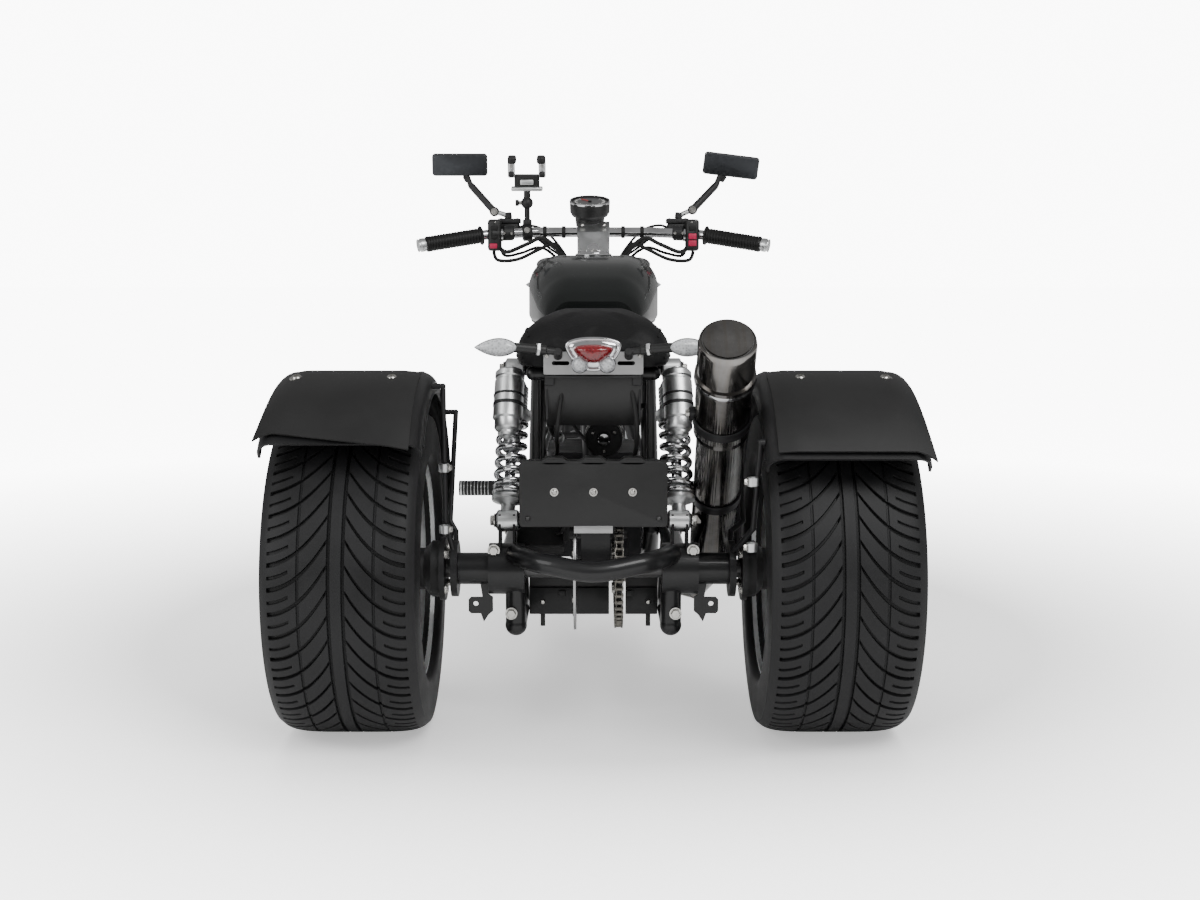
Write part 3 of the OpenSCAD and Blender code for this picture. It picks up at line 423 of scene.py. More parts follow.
def sweep(path, radius, sides=16, closed=False):
    """Round tube along a path, its rings turned as little as possible. radius is a number or a list."""
    p = [Vector(q) for q in path]
    n = len(p)
    r = [radius] * n if isinstance(radius, (int, float)) else radius
    tangent = [(p[(i + 1) % n] - p[i - 1] if closed else p[min(i + 1, n - 1)] - p[max(i - 1, 0)]).normalized()
               for i in range(n)]
    side = frame_of(tangent[0]).to_3x3().col[0]
    verts = []
    angles = np.linspace(0, 2 * pi, sides, endpoint=False)
    for i in range(n):
        side = (side - tangent[i] * side.dot(tangent[i])).normalized()
        up = tangent[i].cross(side)
        ring = np.outer(np.cos(angles), np.array(side)) + np.outer(np.sin(angles), np.array(up))
        verts.append(np.array(p[i]) + ring * r[i])
    faces = grid_faces(n, sides, closed, True)
    if not closed:
        faces.append(tuple(range(sides))[::-1])
        faces.append(tuple((n - 1) * sides + k for k in range(sides)))
    return np.concatenate(verts), faces


def rod(a, b, radius, sides=24, bevel=None):
    """Straight round bar from a to b with bevelled ends."""
    a, b = Vector(a), Vector(b)
    length = (b - a).length
    c = min(radius * 0.15, length * 0.2) if bevel is None else bevel
    profile = [(radius - c, 0), (radius, c), (radius, length - c), (radius - c, length)]
    return placed(lathe(profile, sides), a, b - a)


def ring(r_in, r_out, height, sides=48, bevel=0.001):
    """Plain ring standing on z = 0 with bevelled edges."""
    c = bevel
    return lathe([(r_in, c), (r_in + c, 0), (r_out - c, 0), (r_out, c), (r_out, height - c),
                  (r_out - c, height), (r_in + c, height), (r_in, height - c)], sides, closed=True)


def shape_of(bm):
    """The (vertices, faces) pair of a bmesh, which is freed."""
    shape = (np.array([v.co for v in bm.verts], float), [tuple(v.index for v in f.verts) for f in bm.faces])
    bm.free()
    return shape


def extrude(bm, faces, depth):
    """Draws flat faces up to depth."""
    top = bmesh.ops.extrude_face_region(bm, geom=faces)["geom"]
    bmesh.ops.translate(bm, vec=(0, 0, depth), verts=[v for v in top if isinstance(v, bmesh.types.BMVert)])


def level_edges(bm):
    """Edges that lie flat, at either face of an extruded plate."""
    return [e for e in bm.edges if abs(e.verts[0].co.z - e.verts[1].co.z) < LEVEL]


def round_edges(bm, edges, radius, segments=2):
    """Rounds edges of a bmesh."""
    bmesh.ops.bevel(bm, geom=edges, offset=radius, segments=segments, affect="EDGES", profile=0.5)


def block(size, radius=0.004, segments=3):
    """Box centred on the origin with rounded edges."""
    bm = bmesh.new()
    bmesh.ops.create_cube(bm, size=1.0)
    bmesh.ops.scale(bm, vec=size, verts=bm.verts)
    round_edges(bm, list(bm.edges), min(radius, min(size) * 0.45), segments)
    return shape_of(bm)


def slab(outline, depth, bevel=0.0015):
    """Plate from a closed outline of (x, y) points, from z = 0 to depth, with bevelled rims."""
    bm = bmesh.new()
    face = bm.faces.new([bm.verts.new((x, y, 0)) for x, y in outline])
    bm.normal_update()
    if face.normal.z > 0:
        face.normal_flip()
    extrude(bm, [face], depth)
    if bevel:
        round_edges(bm, level_edges(bm), bevel)
    bmesh.ops.recalc_face_normals(bm, faces=bm.faces)
    return shape_of(bm)


def circle(r, steps, centre=(0, 0)):
    """Outline of a circle."""
    return [(centre[0] + r * cos(a), centre[1] + r * sin(a))
            for a in np.linspace(0, 2 * pi, steps, endpoint=False)]


def pierced(loops, thick, edge=0.0):
    """Plate from z = 0 to thick. The first loop is its outline and the others are its holes."""
    bm = bmesh.new()
    edges = []
    for loop in loops:
        vs = [bm.verts.new((x, y, 0)) for x, y in loop]
        edges += [bm.edges.new((vs[i], vs[(i + 1) % len(vs)])) for i in range(len(vs))]
    bmesh.ops.triangle_fill(bm, use_beauty=True, use_dissolve=False, edges=edges)
    extrude(bm, list(bm.faces), thick)
    if edge:
        bmesh.ops.recalc_face_normals(bm, faces=bm.faces)
        rims = [e for e in level_edges(bm) if len(e.link_faces) == 2 and e.calc_face_angle(0) > SHARP]
        round_edges(bm, rims, edge)
    bmesh.ops.recalc_face_normals(bm, faces=bm.faces)
    return shape_of(bm)


def rounded_outline(w, h, r, steps=6):
    """Rounded rectangle about the origin."""
    out = []
    for k, (sx, sy) in enumerate(((1, 1), (-1, 1), (-1, -1), (1, -1))):
        for i in range(steps + 1):
            a = radians(90 * (k + i / steps))
            out.append((sx * (w / 2 - r) + r * cos(a), sy * (h / 2 - r) + r * sin(a)))
    return out


def ball(radius, rings, sides):
    """Ball about the origin."""
    return lathe([(radius * sin(t), -radius * cos(t)) for t in np.linspace(0.05, pi - 0.05, rings)], sides)


def hex_head(radius, height):
    """Hexagon bolt head with a chamfered top and a washer, standing on z = 0."""
    washer = lathe([(radius * 0.3, 0), (radius * 1.25, 0), (radius * 1.25, height * 0.22),
                    (radius * 0.3, height * 0.22)], 24)
    head = lathe([(radius * 0.5, height * 0.2), (radius, height * 0.2), (radius, height * 0.85),
                  (radius * 0.86, height), (radius * 0.2, height)], 6)
    return joined([washer, head])


def dome_head(radius, height):
    """Round-headed screw with a hexagon socket."""
    profile = [(radius, 0), (radius * 0.98, height * 0.35), (radius * 0.8, height * 0.78),
               (radius * 0.55, height), (radius * 0.42, height), (radius * 0.38, height * 0.45),
               (radius * 0.05, height * 0.45)]
    return lathe(profile, 24)


def joined(shapes):
    """Several shapes as one."""
    verts, faces, start = [], [], 0
    for v, f in shapes:
        verts.append(v)
        faces += [tuple(i + start for i in face) for face in f]
        start += len(v)
    return np.concatenate(verts), faces


def coil(a, b, radius, wire, turns, sides=10, per_turn=28, dead=0.8):
    """Helical spring from a to b, its end turns lying flat."""
    a, b = Vector(a), Vector(b)
    m = frame_of(b - a)
    length = (b - a).length
    n = int(turns * per_turn)
    path = []
    for i in range(n + 1):
        turn = turns * i / n
        free = min(max((turn - dead) / (turns - 2 * dead), 0), 1)
        flat = min(turn, dead) + min(max(turn - (turns - dead), 0), dead)
        z = wire + flat * wire * 1.6 + free * (length - 2 * wire - 2 * dead * wire * 1.6)
        angle = turn * 2 * pi
        path.append(a + m.to_3x3() @ Vector(((radius - wire) * cos(angle),
                                             (radius - wire) * sin(angle), z)))
    return sweep(path, wire, sides)


# ------------------------------------------------------------------ pieces
SMOOTH_BELOW = radians(38)


class Piece:
    """Collects shapes with their materials and turns them into one object that rides on a body."""

    def __init__(self, name, body, slot):
        self.name, self.body, self.slot = name, body, slot
        self.parts = []

    def add(self, shape, material, *place, side=1):
        """Adds a shape, moved to a place and direction if given, or its mirror image where side is -1."""
        shape = placed(shape, *place) if place else shape
        self.parts.append((shape if side > 0 else flipped(shape), material))

    def both(self, shape, material, *place):
        """Adds a shape and its mirror image."""
        self.add(shape, material, *place)
        self.add(shape, material, *place, side=-1)

    def screw(self, radius, height, *place, side=1):
        """Round-headed steel screw at a place, along a direction."""
        self.add(dome_head(radius, height), "steel", *place, side=side)

    def bolt(self, radius, height, *place, side=1):
        """Steel hexagon bolt head at a place, along a direction."""
        self.add(hex_head(radius, height), "steel", *place, side=side)

    def screws(self, *values):
        """A screw and its mirror image."""
        self.screw(*values)
        self.screw(*values, side=-1)

    def bolts(self, *values):
        """A bolt and its mirror image."""
        self.bolt(*values)
        self.bolt(*values, side=-1)

    def build(self, *replaced):
        """The finished object, which stands for the replaced CAD nodes."""
        mesh = bpy.data.meshes.new(self.name)
        verts, faces = joined([shape for shape, _ in self.parts])
        mesh.from_pydata(verts.tolist(), [], faces)
        names = list(dict.fromkeys(material for _, material in self.parts))
        for name in names:
            mesh.materials.append(M[name])
        which = [names.index(material) for (_, f), material in self.parts for _ in f]
        mesh.polygons.foreach_set("material_index", which)
        bm = bmesh.new()
        bm.from_mesh(mesh)
        bmesh.ops.recalc_face_normals(bm, faces=bm.faces)
        bm.to_mesh(mesh)
        bm.free()
        mesh.polygons.foreach_set("use_smooth", [True] * len(mesh.polygons))
        mesh.set_sharp_from_angle(angle=SMOOTH_BELOW)
        mesh.update()
        obj = bpy.data.objects.new(self.name, mesh)
        bpy.context.scene.collection.objects.link(obj)
        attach(obj, self.body)
        if replaced:
            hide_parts(*replaced)
        return obj


def finish_node(node, material):
    """A CAD node that keeps its shape takes its finished material."""
    mesh = frame["nodes"][node].data
    mesh.materials.clear()
    mesh.materials.append(M[material])


# ------------------------------------------------------------------ wheels
def tyre(spec, exponent, pitches, rows, columns, depth_at, at_x=0.0, lean_sign=1, side_steps=16):
    """Tyre with its tread cut as relief: rows are phases inside one pitch, and columns are distances from the
    middle. depth_at gives the groove's depth. The rows lean as sweep_of says, so the grooves follow them."""
    half, r_out, r_bead = spec["width"] / 2, spec["r_out"], spec["r_in"] - 0.006
    middle, reach = (r_out + r_bead) / 2, (r_out - r_bead) / 2
    edge = max(columns) * MM
    stations = [(x, middle + reach * max(0.0, 1 - (abs(x) / half) ** (2 / exponent)) ** (exponent / 2), True)
                for x in sorted(set([-c * MM for c in columns] + [c * MM for c in columns]))]
    start = acos((edge / half) ** (1 / exponent))
    side = []
    for k in range(1, side_steps + 1):
        a = start - (start + 1.45) * k / side_steps
        r = middle + reach * copysign(abs(sin(a)) ** exponent, sin(a))
        up = (r - r_bead) / (2 * reach)
        bulge = 0.0016 if 0.8 < up < 0.87 or 0.12 < up < 0.24 else 0.0
        side.append((half * cos(a) ** exponent + bulge, r))
    side += [(half * 0.55, r_bead - 0.001)]
    section = [(-x, r, False) for x, r in side[::-1]] + stations + [(x, r, False) for x, r in side]
    n, m = pitches * len(rows), len(section)
    verts = np.zeros((n, m, 3))
    for i in range(n):
        phase = rows[i % len(rows)]
        turn = (i // len(rows) + phase) / pitches * 2 * pi
        for j, (x, r, tread) in enumerate(section):
            a = turn + lean_sign * sweep_of(min(abs(x), edge) / MM, spec) / (r_out / MM)
            cut = depth_at(abs(x) / MM, phase) * MM if tread else 0.0
            verts[i, j] = (x + at_x, (r - cut) * cos(a), (r - cut) * sin(a))
    return verts.reshape(-1, 3), grid_faces(n, m, True, False)


def sweep_of(x, spec):
    """How far round the tyre a groove has moved at x across, in millimetres: steep near the middle."""
    reach = spec["width"] * 500
    u = min(x / reach, 1.0)
    return 0.85 * reach * (1 - (1 - u) ** 2.4)


ROWS = [0.0, 0.03, 0.17, 0.2, 0.34, 0.5, 0.53, 0.62, 0.65, 0.82]
REAR_COLUMNS = [0, 4, 8, 9.2, 12.4, 13.6, 18, 24, 32, 40, 48, 54, 55, 57.6, 58.6, 64, 70, 71.5, 80, 88, 95, 101,
        103, 107]


FRONT_COLUMNS = [0, 3, 5, 6, 8.6, 9.6, 14, 20, 26, 27, 29, 30, 35, 41, 47, 48.5, 53]


def grooves(ribs, lugs):
    """The depth of the tread's grooves by place, in millimetres. Ribs run round the tyre: (near, far, depth). Lugs
    run across it and also say which part of a pitch they take: (near, far, from, to, depth)."""
    def depth_at(x, phase):
        depths = [depth for near, far, depth in ribs if near < x < far]
        depths += [depth for near, far, low, high, depth in lugs if near <= x <= far and low < phase < high]
        return max(depths, default=0.0)
    return depth_at


rear_depth = grooves([(9.0, 12.6, 5.0), (54.8, 57.8, 2.6)],
        [(18, 101.5, 0.02, 0.18, 6.5), (71, 101.5, 0.52, 0.63, 4.0)])
front_depth = grooves([(5.8, 8.8, 4.2), (26.8, 29.2, 2.2)],
        [(14, 47.5, 0.02, 0.18, 5.0), (35, 47.5, 0.52, 0.63, 3.2)])


def turns(count, first=0.0):
    """Angles evenly round a full turn."""
    return [2 * pi * k / count + first for k in range(count)]


def about_rear(shape):
    """Moves a shape from the origin to the rear axle."""
    return moved(shape, Matrix.Translation(REAR))


def about_front(shape):
    """Moves a shape from the origin to the front axle."""
    return moved(shape, Matrix.Translation(FRONT))


tyres = Piece("rear_tyre_tread", "rear_wheels", "tyre_rubber")
for side in (1, -1):
    tyres.add(about_rear(tyre(REAR_TYRE, 0.42, 44, ROWS, REAR_COLUMNS, rear_depth, side * REAR_TYRE["x"], -1)),
            "tyre")
tyres.build("rear_tyres")

front_tyre = Piece("front_tyre_tread", "front_wheel", "tyre_rubber")
front_tyre.add(about_front(tyre(FRONT_TYRE, 0.6, 42, ROWS, FRONT_COLUMNS, front_depth, 0.0, -1)), "tyre")
front_tyre.build("front_tyre")


def barrel(r, width, wall=0.004):
    """Rim barrel with bead seats, humps and a drop centre, about Z."""
    w = width / 2 - 0.009
    outer = [(r + 0.0105, -w - 0.0045), (r + 0.012, -w - 0.002), (r + 0.0105, -w + 0.001),
            (r + 0.002, -w + 0.003),
             (r + 0.001, -w + 0.018), (r - 0.012, -w + 0.028), (r - 0.016, -w * 0.3), (r - 0.016, w * 0.3),
             (r - 0.012, w - 0.028), (r + 0.001, w - 0.018), (r + 0.002, w - 0.003), (r + 0.0105, w - 0.001),
             (r + 0.012, w + 0.002), (r + 0.0105, w + 0.0045)]
    inner = [(a - wall - 0.0015, b * 0.985) for a, b in outer[::-1]]
    inner[0] = (outer[-1][0] - 0.005, outer[-1][1] - 0.0005)
    inner[-1] = (outer[0][0] - 0.005, outer[0][1] + 0.0005)
    return lathe(outer + inner, 96, closed=True)


def to_x(shape, x):
    """Turns a shape built about Z so its axis runs along +X, moved out to x."""
    return placed(shape, (x, 0, 0), TO_LEFT)


def windowed_disc(r_in, r_out, thick, windows, at, hole, steps=8, edge=0.0015):
    """Wheel disc with a ring of round-cornered windows whose outline is hole."""
    loops = [circle(r_out, 128), circle(r_in, 64)]
    for k in range(windows):
        c, s = cos(2 * pi * k / windows), sin(2 * pi * k / windows)
        outline = [hole(b) for b in np.linspace(0, 2 * pi, steps * 4, endpoint=False)]
        loops.append([(at * c + x * c - y * s, at * s + x * s + y * c) for x, y in outline])
    return pierced(loops, thick, edge)


def oval(a, b, power=0.8):
    """Rounded window outline: a along the radius, b across."""
    def at(t):
        c, s = cos(t), sin(t)
        return (a * copysign(abs(c) ** power, c), b * copysign(abs(s) ** power, s))
    return at


rims = Piece("rear_rims_detail", "rear_wheels", "wheel_black")
for side in (1, -1):
    x = REAR_TYRE["x"]
    half = [(to_x(barrel(0.178, REAR_TYRE["width"]), x), "silver"),
            (to_x(windowed_disc(0.03, 0.165, 0.008, 8, 0.114, oval(0.03, 0.026)), 0.404), "silver"),
            (to_x(lathe([(0.018, -0.153), (0.046, -0.153), (0.046, -0.14), (0.034, -0.128), (0.034, -0.01),
                         (0.05, -0.002), (0.05, 0.012), (0.044, 0.018), (0.018,
                                 0.018)], 48, True), 0.404), "dark_cast"),
            (to_x(ring(0.0165, 0.027, 0.006), 0.4215), "steel")]
    for a in turns(4, pi / 4):
        half.append((placed(hex_head(0.0085, 0.01), (0.412, 0.062 * cos(a), 0.062 * sin(a)), TO_LEFT), "steel"))
    half.append((rod((0.4, 0, 0.15), (0.432, 0, 0.141), 0.0042, 12), "rubber"))
    half.append((rod((0.428, 0, 0.1423), (0.438, 0, 0.1395), 0.0034, 12), "steel"))
    for shape, material in half:
        rims.add(about_rear(shape), material, side=side)
rims.build("rear_rims")

front_rim = Piece("front_rim_detail", "front_wheel", "wheel_silver")
front_rim.add(about_front(to_x(barrel(0.153, FRONT_TYRE["width"]), 0)), "silver")
front_rim.add(about_front(to_x(lathe([(0.0125, -0.046), (0.03, -0.046), (0.032, -0.04), (0.026, -0.03),
        (0.026, 0.034),
                                      (0.04, 0.042), (0.044, 0.05), (0.044, 0.056), (0.0125,
                                              0.056)], 48, True), 0)), "silver")
for a in turns(5):
    spoke = block((0.03, 0.024, 0.124), 0.008, 3)
    spoke[0][:, 0] *= 1.0 - 0.35 * (spoke[0][:, 2] + 0.062) / 0.124
    m = Matrix.Rotation(a, 4, "X") @ Matrix.Translation((0, 0, 0.086))
    front_rim.add(about_front(moved(spoke, m)), "silver")
    front_rim.add(about_front(placed(dome_head(0.006, 0.005), (0.0555, 0.035 * sin(a), 0.035 * cos(a)),
            TO_LEFT)), "steel")
front_rim.build("front_rim")


def drilled_disc(r_in, r_out, thick, x, holes, holes_at, arms):
    """Brake disc: drilled ring on a carrier with arms, about the wheel axis."""
    out = [(to_x(windowed_disc(r_in, r_out, thick, holes, holes_at, oval(0.0042, 0.0042, 1.0), 4, 0.0006), x),
            "disc")]
    out.append((to_x(ring(0.024, 0.046, thick * 1.4), x), "dark_cast"))
    for a in turns(arms):
        arm = block((thick * 1.2, 0.014, r_in - 0.036), 0.0015, 2)
        out.append((moved(arm, Matrix.Rotation(a, 4,
                "X") @ Matrix.Translation((x + thick / 2, 0, (r_in + 0.044) / 2))), "dark_cast"))
        out.append((placed(dome_head(0.005, 0.0025),
                (x + thick, (r_in + 0.006) * -sin(a), (r_in + 0.006) * cos(a)), TO_LEFT), "steel"))
    return out


rear_disc = Piece("rear_disc_detail", "rear_wheels", "disc_steel")
for shape, material in drilled_disc(0.07, 0.1, 0.004, 0.028, 24, 0.085, 6):
    rear_disc.add(about_rear(shape), material)
rear_disc.build("rear_disc")
front_disc = Piece("front_disc_detail", "front_wheel", "disc_steel")
for shape, material in drilled_disc(0.074, 0.104, 0.004, 0.064, 24, 0.089, 6):
    front_disc.add(about_front(shape), material)
front_disc.build("front_disc")


def toothed(teeth, root, tip, hole, thick, windows):
    """Sprocket with rounded teeth and lightening windows."""
    flank, middle = (root + tip) / 2, (root + hole) / 2
    tooth = ((0.0, root), (0.14, root), (0.3, flank), (0.42, tip), (0.58, tip), (0.7, flank), (0.86, root))
    turns = [(2 * pi * (k + u) / teeth, r) for k in range(teeth) for u, r in tooth]
    loops = [[(r * cos(a), r * sin(a)) for a, r in turns], circle(hole, 48)]
    for k in range(windows):
        a = 2 * pi * (k + 0.5) / windows
        loops.append(circle(0.011, 20, (middle * cos(a), middle * sin(a))))
    return pierced(loops, thick)


sprocket = Piece("sprocket_detail", "rear_wheels", "chain_steel")
sprocket.add(about_rear(to_x(toothed(41, 0.082, 0.0885, 0.03, 0.005, 6), -0.0435)), "dark_steel")
sprocket.add(about_rear(to_x(ring(0.0155, 0.044, 0.012), -0.047)), "dark_cast")
for a in turns(6):
    sprocket.add(about_rear(placed(hex_head(0.0055, 0.005), (-0.035, 0.037 * cos(a), 0.037 * sin(a)), TO_LEFT)),
            "steel")
sprocket.build("sprocket")

axle = Piece("axle_shaft_detail", "rear_wheels", "dark_steel")
axle.add(about_rear(rod((-0.406, 0, 0), (0.406, 0, 0), 0.015, 40, 0.002)), "dark_steel")
for side in (1, -1):
    bits = [(to_x(lathe([(0.0152, 0), (0.052, 0), (0.052, 0.009), (0.0152, 0.009)], 48, True), 0.2415),
            "dark_cast"),
            (rod((0.4, 0, 0), (0.4315, 0, 0), 0.0095, 24), "steel"),
            (placed(hex_head(0.0165, 0.012), (0.4225, 0, 0), TO_LEFT), "steel")]
    for a in turns(4, pi / 4):
        bits.append((placed(hex_head(0.0062, 0.006), (0.2418, 0.041 * cos(a), 0.041 * sin(a)), (-1, 0, 0)),
                "steel"))
    for shape, material in bits:
        axle.add(about_rear(shape), material, side=side)
axle.build("axle_shaft")


# ------------------------------------------------------------------ rear fenders, flaps and stays
def from_axle(x, r, degrees):
    """A vector x across and r out from an axle: 0 degrees is straight up, and positive is to the rear."""
    a = radians(degrees)
    return Vector((x, r * sin(a), r * cos(a)))


def arc_point(x, angle, r):
    """A point about the rear axle, in millimetres."""
    return REAR + from_axle(x * MM, r * MM, angle)


def skin(grid, thick):
    """Closed sheet from a grid of outer points (rows of equal length), thickened along its normals."""
    p = np.array([[list(v) for v in row] for row in grid], float)
    du = np.gradient(p, axis=0)
    dv = np.gradient(p, axis=1)
    n = np.cross(du, dv)
    n /= np.linalg.norm(n, axis=2, keepdims=True) + 1e-12
    q = p - n * thick
    rows, cols = p.shape[:2]
    verts = np.concatenate([p.reshape(-1, 3), q.reshape(-1, 3)])
    faces = grid_faces(rows, cols)
    off = rows * cols
    faces += [tuple(i + off for i in f[::-1]) for f in grid_faces(rows, cols)]
    rim = [i for i in range(cols)] + [r * cols + cols - 1 for r in range(1, rows)] \
        + [(rows - 1) * cols + c for c in range(cols - 2, -1, -1)] + [r * cols for r in range(rows - 2, 0, -1)]
    for a, b in zip(rim, rim[1:] + rim[:1]):
        faces.append((a, b, b + off, a + off))
    return verts, faces


flaps = Piece("fender_flap_panels", "frame", "flap_black")
BOLT_ANGLE = 14.5
for side, drop_out, drop_in, bolts in ((1, 41.0, 46.5, (465, 316)), (-1, 47.5, 47.5, (457, 324))):
    rows = []
    for i in range(15):
        t = i / 14
        row = []
        for j in range(25):
            u = j / 24
            end = drop_in + (drop_out - drop_in) * u + 3.2 * max(0, (u - 0.9) / 0.1) ** 2
            angle = 7.0 + (end - 7.0) * t
            x = 274 + 222 * u + 10 * max(0, (u - 0.86) / 0.14) ** 1.5 * t ** 3
            r = 328.5 + 2.0 * sin(pi * t) - 16 * max(0, (u - 0.8) / 0.2) ** 2 * (1 - t ** 2) - 3 * max(0,
                    (0.12 - u) / 0.12)
            row.append(arc_point(side * x, angle, r))
        rows.append(row)
    flaps.add(skin(rows if side > 0 else [r[::-1] for r in rows], 0.0028), "flap")
    out = from_axle(0, 1, BOLT_ANGLE)
    for x in bolts:
        flaps.screw(0.0085, 0.0055, arc_point(side * x, BOLT_ANGLE, 329.5), out)
        flaps.add(ring(0.007, 0.0115, 0.0016, 24, 0.0004), "steel", arc_point(side * x, BOLT_ANGLE, 329.0), out)
flaps.build("fender_flaps")

trim = Piece("fender_edge_trim", "frame", "flap_black")
for side, end in ((1, 44), (-1, 49)):
    # the rolled bead along the outer and inner edges of each fender and its mounting bolts
    for x, r in ((503, 290), (259, 290)):
        path = [arc_point(side * x, end - 4 - 138 * k / 60, r) for k in range(61)]
        trim.add(sweep(path, 0.0032, 8), "satin")
    for angle in (-12, -70):
        for x in (285, 300):
            trim.screw(0.0065, 0.004, arc_point(side * x, angle, 322.5), from_axle(0, 1, angle))
for side in (1, -1):
    for at, way in ((rear(240, 40, 430), (0, 0, 1)), (rear(240, 40, 330), (0, 0, 1))):
        trim.add(ring(0.0043, 0.0085, 0.014, 24), "silver",
                (side * at.x, at.y if side > 0 else REAR.y + 0.2, at.z), way)
        trim.bolt(0.005, 0.005, (side * (at.x - 0.008), at.y if side > 0 else REAR.y + 0.2, at.z + 0.007),
                (-side, 0, 0))
trim.build()

# ------------------------------------------------------------------ rear panel, plate bracket, lights
panel_bits = Piece("rear_panel_detail", "frame", "black_plastic")
PANEL_Y = 786
panel_bits.add(slab(rounded_outline(0.235, 0.104, 0.006), 0.0035, 0.0012), "plastic",
        Vector((0, PANEL_Y * MM, 0.4)), TO_REAR)
lip = [(-117.5, 0)] + [q for c in (-62, 0, 62) for q in ((c - 20, 0), (c - 12, 5.5), (c + 12, 5.5),
        (c + 20, 0))] + [(117.5, 0)]
lip_rows = [[Vector((x * MM, (PANEL_Y + 3 - d) * MM, (450.5 + z) * MM)) for x, z in lip]
        for d in (0, 8, 20, 30)]
panel_bits.add(skin(lip_rows[::-1], 0.0028), "plastic")
panel_bits.add(skin([[Vector((x * MM, (PANEL_Y + 3.5) * MM, (450.5 + z * t) * MM)) for x, z in lip]
        for t in (-0.4, 1)], 0.003), "plastic")
for x in (-62, 0, 62):
    panel_bits.screw(0.0046, 0.0035, (x * MM, (PANEL_Y + 3.4) * MM, 0.404), TO_REAR)
    panel_bits.add(ring(0.0044, 0.0068, 0.0012, 24, 0.0003), "steel", (x * MM, (PANEL_Y + 3.2) * MM, 0.404),
            TO_REAR)
panel_bits.add(block((0.047, 0.003, 0.066), 0.001), "satin", (-0.0035, (PANEL_Y + 1.5) * MM, 0.32))
panel_bits.add(block((0.062, 0.0015, 0.012), 0.0005), "brushed", (0.0, (PANEL_Y + 3.2) * MM, 0.344))
for s in (1, -1):
    panel_bits.add(block((0.018, 0.034, 0.012), 0.002), "satin", (s * 0.062, (PANEL_Y - 16) * MM, 0.404))
    panel_bits.add(dome_head(0.004, 0.003), "dark_steel", (s * 0.104, (PANEL_Y + 3.4) * MM, 0.362), TO_REAR)
panel_bits.build("rear_panel")

BRACKET_Y = 760


def slotted_plate():
    """Plate bracket with its two slots."""
    slot = rounded_outline(0.028, 0.0065, 0.00324, 5)
    slots = [[(middle + x, y) for x, y in slot] for middle in (-0.052, 0.052)]
    return pierced([rounded_outline(0.158, 0.036, 0.004)] + slots, 0.003)


plate = Piece("plate_bracket_detail", "frame", "brushed_plate")
plate.add(slotted_plate(), "brushed", (0, (BRACKET_Y - 3) * MM, 0.606), TO_REAR)
plate.add(block((0.158, 0.012, 0.003), 0.001), "brushed", (0, (BRACKET_Y - 7) * MM, 0.6225))
plate.add(block((0.158, 0.012, 0.003), 0.001), "brushed", (0, (BRACKET_Y - 7) * MM, 0.5895))
for s in (1, -1):
    plate.screw(0.004, 0.0028, (s * 0.074, BRACKET_Y * MM, 0.618), TO_REAR)
    plate.screw(0.004, 0.0028, (s * 0.02, BRACKET_Y * MM, 0.594), TO_REAR)
    plate.add(block((0.016, 0.02, 0.06), 0.002), "satin", (s * 0.07, (BRACKET_Y - 14) * MM, 0.6))
plate.build("plate_bracket")

# the tail light: wide on top, narrowing below, with a chrome rim and two clear lamps
TAIL_SIDE = [(0.047, 0.0245), (0.043, 0.03), (0.03, 0.0345), (0.015, 0.0365), (0.0, 0.037)]
TAIL_TOP = TAIL_SIDE + [(-x, z) for x, z in TAIL_SIDE[-2::-1]]
TAIL_LOW = [(-0.046, 0.018), (-0.04, 0.006), (-0.028, -0.008), (-0.014, -0.018), (0.0, -0.02),
            (0.014, -0.018), (0.028, -0.008), (0.04, 0.006), (0.046, 0.018)]
TAIL_RING = [(x * 0.9, z * 0.86) for x, z in TAIL_TOP + TAIL_LOW]


def centre_of(outline):
    """The mean point of an outline."""
    return [sum(p[i] for p in outline) / len(outline) for i in (0, 1)]


def domed(outline, y0, depth, steps, power):
    """A bulging lens standing on plane y0, its outline shrinking to the rear."""
    cx, cz = centre_of(outline)
    rings = []
    for k in range(steps + 1):
        t = k / steps
        s = cos(t * pi / 2) ** power if k < steps else 0.02
        rings.append([(cx + (x - cx) * s, y0 + depth * sin(t * pi / 2), cz + (z - cz) * s) for x, z in outline])
    return tube(rings)


def grown(outline, by):
    """The outline larger by this share of its size."""
    cx, cz = centre_of(outline)
    return [(cx + (x - cx) * (1 + by), cz + (z - cz) * (1 + by)) for x, z in outline]


tail = Piece("tail_light_detail", "frame", "red_lens")
TAIL_AT = (0.0, 0.7635, 0.614)
tail.add(domed(grown(TAIL_RING, 0.06), 0.0, 0.019, 8, 0.32), "chrome", TAIL_AT)
red = [(x, z * 0.82) for x, z in grown(TAIL_RING, -0.24)]
tail.add(domed(red, 0.013, 0.021, 8, 0.7), "red_lens", Vector(TAIL_AT) + Vector((0, 0, 0.001)))
rim_path = smooth_path([Vector((x, 0.0145, z)) for x, z in grown(TAIL_RING, -0.02)], 3, True)
tail.add(sweep(rim_path, 0.003, 10, True), "chrome", TAIL_AT)
for s in (1, -1):
    at = Vector(TAIL_AT) + Vector((s * 0.0215, 0.01, -0.0085))
    tail.add(lathe([(0.0135, 0), (0.014, 0.01), (0.0125, 0.0125), (0.0108, 0.0105), (0.0108, 0.002)], 32, True),
            "chrome", at, TO_REAR)
    tail.add(lathe([(0.0112, 0.002), (0.0108, 0.0085), (0.0078, 0.0118), (0.004, 0.0132), (0.0008, 0.0136)],
            32), "clear_lens", at, TO_REAR)
tail.add(rod((0.014, 0.742, 0.632), (0.014, 0.766, 0.632), 0.005, 16), "satin")
tail.add(rod((-0.014, 0.742, 0.632), (-0.014, 0.766, 0.632), 0.005, 16), "satin")
tail.build("tail_light")


